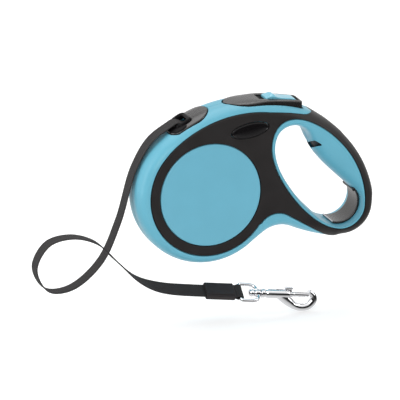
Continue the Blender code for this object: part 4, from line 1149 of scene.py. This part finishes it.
# ---- materials
class Nodes:
    """A short way to write the node tree of a new material, or of the world."""

    def __init__(self, name, world=False):
        self.owner = (bpy.data.worlds if world else bpy.data.materials).new(name)
        self.owner.use_nodes = True
        self.tree = self.owner.node_tree
        self.shader = self.tree.nodes["Background" if world else "Principled BSDF"]

    def add(self, kind, inputs=None, **settings):
        node = self.tree.nodes.new("ShaderNode" + kind)
        for key, value in settings.items():
            setattr(node, key, value)
        for key, value in (inputs or {}).items():
            self.feed(node, key, value)
        return node

    def feed(self, node, key, value):
        if isinstance(value, bpy.types.NodeSocket):
            self.tree.links.new(value, node.inputs[key])
        else:
            node.inputs[key].default_value = value

    def set(self, **values):
        for key, value in values.items():
            self.feed(self.shader, key.replace("_", " "), value)
        return self.owner

    def place(self):
        """Object coordinates in millimetres."""
        coords = self.add("TexCoord").outputs["Object"]
        return self.add("VectorMath", {0: coords, "Scale": 1 / MM},
                        operation="SCALE").outputs[0]

    def noise(self, scale, detail=3.0, roughness=0.5, where=None):
        inputs = {"Vector": where or self.place(), "Scale": scale, "Detail": detail,
                  "Roughness": roughness}
        return self.add("TexNoise", inputs).outputs["Fac"]

    def math(self, operation, a, b=0.0, c=0.0):
        node = self.add("Math", operation=operation)
        for i, value in enumerate((a, b, c)):
            self.feed(node, i, value)
        return node.outputs[0]

    def ramp(self, value, low, high, to_low, to_high):
        inputs = {"Value": value, "From Min": low, "From Max": high, "To Min": to_low,
                  "To Max": to_high}
        return self.add("MapRange", inputs).outputs[0]

    def mix(self, factor, a, b):
        node = self.add("Mix", data_type="RGBA")
        self.feed(node, "Factor", factor)
        for socket, value in zip([s for s in node.inputs if s.type == "RGBA"], (a, b)):
            if isinstance(value, bpy.types.NodeSocket):
                self.tree.links.new(value, socket)
            else:
                socket.default_value = (*value, 1.0)
        return [s for s in node.outputs if s.type == "RGBA"][0]

    def soft_edges(self, radius):
        """Rounds the light on edges that are sharp in the mesh."""
        return self.add("Bevel", {"Radius": radius}, samples=4).outputs["Normal"]

    def bump(self, height, distance, normal=None):
        node = self.add("Bump", {"Height": height, "Distance": distance})
        if normal:
            self.feed(node, "Normal", normal)
        return node.outputs["Normal"]


def tinted(colour, factor):
    return tuple(channel * factor for channel in colour)


def moulded_plastic(name, colour, roughness, shine=0.5, orange_peel=0.010, coat=0.0):
    """Glossy or satin moulding: faint colour drift, fine handling marks, soft orange peel."""
    n = Nodes(name)
    return n.set(
        Base_Color=n.mix(n.noise(0.05, 2.0), tinted(colour, 0.95), tinted(colour, 1.05)),
        Roughness=n.ramp(n.noise(0.55, 6.0, 0.7), 0.35, 0.7, roughness * 0.88, roughness * 1.18),
        Normal=n.bump(n.noise(0.9, 2.0), orange_peel * MM, n.soft_edges(0.35 * MM)),
        Coat_Weight=coat, Coat_Roughness=0.08, Specular_IOR_Level=shine)


def soft_touch(name, colour):
    """Rubbery overmould: fine eroded grain and faint smudges."""
    n = Nodes(name)
    smudge = n.noise(0.07, 4.0, 0.6)
    return n.set(
        Base_Color=n.mix(smudge, tinted(colour, 0.85), tinted(colour, 1.25)),
        Roughness=n.ramp(smudge, 0.3, 0.7, 0.46, 0.62),
        Normal=n.bump(n.noise(4.2, 4.0, 0.6), 0.035 * MM, n.soft_edges(0.4 * MM)),
        Specular_IOR_Level=0.35)


def webbing(name, colour):
    """Woven tape: ribs along it, picks across it in a fine zigzag, and fuzz; its colour carries
    painted shade in the weave's hollows and painted light on the raised threads.
    """
    n = Nodes(name)
    uv = n.add("UVMap", uv_map="weave").outputs["UV"]
    split = n.add("SeparateXYZ", {"Vector": uv})
    u, v = split.outputs[0], split.outputs[1]
    rib_pitch, pick_pitch, op = 0.62, 0.9, n.math
    lean = op("ABSOLUTE", op("SUBTRACT", op("FRACT", op("MULTIPLY", u, 0.5)), 0.5))
    across = op("SINE", op("MULTIPLY", u, 2 * math.pi / rib_pitch))
    picks = op("SINE", op("ADD", op("MULTIPLY", v, 2 * math.pi / pick_pitch),
                          op("MULTIPLY", lean, 9.0)))
    weave = op("ADD", op("MULTIPLY", op("ABSOLUTE", across), 0.6), op("MULTIPLY", picks, 0.4))
    height = op("ADD", weave, op("MULTIPLY", n.noise(6.0), 0.35))
    # painted shade and light: the colour follows the weave's height, darker in the hollows and
    # lighter on the raised threads
    shade = n.ramp(height, -0.3, 1.1, 0.0, 1.0)
    light = n.mix(n.noise(0.09), tinted(colour, 1.45), tinted(colour, 1.8))
    return n.set(
        Base_Color=n.mix(shade, tinted(colour, 0.42), light), Roughness=0.8,
        Normal=n.bump(height, 0.10 * MM), Specular_IOR_Level=0.2)


def polished(name, colour, roughness):
    """Chromed casting: nearly a mirror, with faint waviness and hairline wear."""
    n = Nodes(name)
    hairs = n.noise(1.6, 8.0, 0.75)
    return n.set(
        Base_Color=n.mix(n.noise(0.25), tinted(colour, 0.93), colour), Metallic=1.0,
        Roughness=n.ramp(hairs, 0.4, 0.75, roughness * 0.6, roughness * 1.9),
        Normal=n.bump(n.noise(0.35, 2.0), 0.05 * MM))


def brushed(name, colour):
    """Plain steel: fine drawn streaks and a dull spread of light."""
    n = Nodes(name)
    stretch = n.add("VectorMath", {0: n.place(), 1: (1.0, 0.08, 1.0)},
                    operation="MULTIPLY").outputs[0]
    streaks = n.noise(5.0, 4.0, 0.6, stretch)
    return n.set(
        Base_Color=n.mix(streaks, tinted(colour, 0.75), colour), Metallic=1.0,
        Roughness=n.ramp(streaks, 0.3, 0.7, 0.25, 0.45), Normal=n.bump(streaks, 0.01 * MM))


MATERIALS = {
    "housing_plastic": moulded_plastic("blue_gloss", (0.111, 0.356, 0.462), 0.31, 0.25),
    "disc_plastic": moulded_plastic("blue_satin", (0.115, 0.364, 0.478), 0.36, 0.4, 0.006),
    "lock_plastic": moulded_plastic("blue_lock", (0.135, 0.415, 0.530), 0.22, coat=0.3),
    "soft_cover": soft_touch("black_soft_touch", (0.0125, 0.0105, 0.0105)),
    "gloss_black": moulded_plastic("black_gloss", (0.004, 0.0035, 0.004), 0.10, 0.45),
    "dark_grey_plastic": moulded_plastic("dark_grey_satin", (0.010, 0.0085, 0.0085), 0.28, 0.6,
                                         0.008),
    # a darker, duller copy of the gloss black: painted shade on the nozzle frame under the tape
    "nozzle_shaded_black": moulded_plastic("black_nozzle_painted_shade", (0.003, 0.0025, 0.003), 0.22, 0.06),
    "reel_plastic": moulded_plastic("grey_moulding", (0.30, 0.30, 0.31), 0.45),
    "tape": webbing("tape_weave", (0.026, 0.0245, 0.025)),
    "sleeve": moulded_plastic("sleeve_black", (0.020, 0.0165, 0.017), 0.45, 0.25, 0.02),
    "chrome": polished("chrome_plate", (0.86, 0.86, 0.88), 0.06),
    "steel": brushed("steel_wire", (0.56, 0.56, 0.58)),
}


def paint_cad_nodes():
    """Every CAD node that stays gets its slot's finish."""
    for part in frame["record"]["subparts"]:
        obj = frame["nodes"][part["node"]]
        obj.data.materials.clear()
        obj.data.materials.append(MATERIALS[part["material_slot"]])


# ---- stage, light and camera
CAMERA_AZIMUTH = math.radians(-19.85)
CAMERA_ELEVATION = math.radians(17.37)
CAMERA_DISTANCE = 9.0
FRAME_WIDTH = 0.300  # width of the view at the object
VIEW_LEFT, VIEW_DOWN = 8.11, 3.61  # mm from the side face's middle to the view's


def camera():
    """A long lens at the catalogue view's angle."""
    a, e = CAMERA_AZIMUTH, CAMERA_ELEVATION
    back = Vector((math.sin(a) * math.cos(e), -math.cos(a) * math.cos(e), math.sin(e)))
    right = Vector((math.cos(a), math.sin(a), 0))
    target = (AXLE + Vector((0, -FACE, 0)) - right * VIEW_LEFT * MM
              - back.cross(right) * VIEW_DOWN * MM)
    data = bpy.data.cameras.new("camera")
    data.sensor_width = 36.0
    data.lens = CAMERA_DISTANCE * data.sensor_width / FRAME_WIDTH
    data.clip_start, data.clip_end = 1.0, 40.0
    bpy.context.scene.camera = aimed(new_object("camera", data), target + back * CAMERA_DISTANCE,
                                     back.to_track_quat("Z", "Y"))


def aimed(obj, place, turn):
    obj.location = place
    obj.rotation_mode = "QUATERNION"
    obj.rotation_quaternion = turn
    return obj


def floor():
    """A plain pale floor."""
    level = CAD_BOX[0].z - 1.0 * MM
    mesh = bpy.data.meshes.new("floor")
    mesh.from_pydata([(x, y, level) for x, y in ((-4, -4), (4, -4), (4, 4), (-4, 4))], [],
                     [(0, 1, 2, 3)])
    obj = new_object("floor", mesh)
    n = Nodes("floor_paint")
    n.set(Base_Color=n.mix(n.noise(0.002, 2.0), (0.93, 0.93, 0.93), (0.95, 0.95, 0.95)),
          Roughness=0.9, Emission_Color=(1.0, 1.0, 1.0, 1.0), Emission_Strength=0.22)
    mesh.materials.append(n.owner)
    obj.visible_glossy = False


def softbox(name, place, size, power):
    """A rectangular light that looks at the origin."""
    data = bpy.data.lights.new(name, "AREA")
    data.shape, data.energy = "RECTANGLE", power
    data.size, data.size_y = size
    aimed(new_object(name, data), place, (-Vector(place)).to_track_quat("-Z", "Y"))


FRONT_BANDS = [(0.0, 0.80), (0.22, 0.60), (0.30, 0.20), (0.37, 0.03), (0.63, 0.03),
               (0.68, 0.70), (0.85, 1.10), (1.0, 1.10)]        # (height, level) of reflections
BACKDROP_LEVEL = 1.0
FILL_LEVEL = 0.50


def studio():
    """White behind, banded in front for metal and gloss, with soft boxes round it."""
    n = Nodes("studio", world=True)
    bpy.context.scene.world = n.owner
    way = n.add("TexCoord").outputs["Generated"]
    split = n.add("SeparateXYZ", {0: way}).outputs
    ramp = n.add("ValToRGB", {"Fac": n.ramp(split[2], -1.0, 1.0, 0.0, 1.0)})
    elements = ramp.color_ramp.elements
    while len(elements) < len(FRONT_BANDS):
        elements.new(0.5)
    for element, (position, level) in zip(elements, FRONT_BANDS):
        element.position = position
        element.color = (level, level, level, 1.0)
    behind = n.add("MapRange", {"Value": split[1], "From Min": 0.05, "From Max": 0.55},
                   interpolation_type="SMOOTHSTEP").outputs[0]
    ray, colour = n.add("LightPath").outputs, ramp.outputs["Color"]
    for factor, level in ((behind, BACKDROP_LEVEL), (ray["Is Diffuse Ray"], FILL_LEVEL),
                          (ray["Is Camera Ray"], 1.0)):
        colour = n.mix(factor, colour, (level, level, level))
    n.set(Color=colour)
    softbox("top_box", (-0.1, 0.25, 0.9), (1.1, 0.7), 6.0)
    softbox("front_box", (-0.9, -1.3, 0.75), (0.9, 0.9), 11.0)
    softbox("right_box", (1.2, -0.7, 0.5), (0.5, 1.0), 4.5)
    softbox("left_strip", (-0.9, 0.1, 0.25), (0.25, 0.9), 3.0)


# ---- assembly
def build():
    paint_cad_nodes()
    for word, side in SIDES.items():
        # each side also gets a dark block of painted shade set back in its grip slot
        for piece in (shell, painted_slot_shade, soft_cover, side_disc, badge):
            piece(word, side)
    for piece in (nozzle_cap, nozzle_ring, brake_button, lock_slider, grip_liner, grip_pin,
                  leash_tape, end_turn, sleeve, eye, stem, hook, bolt, spring):
        piece()
    for index, place in enumerate(SCREW_PLACES, 1):
        screw(index, place)


build()
floor()
studio()
camera()
bpy.context.scene.view_settings.view_transform = "Standard"

bpy.context.view_layer.update()
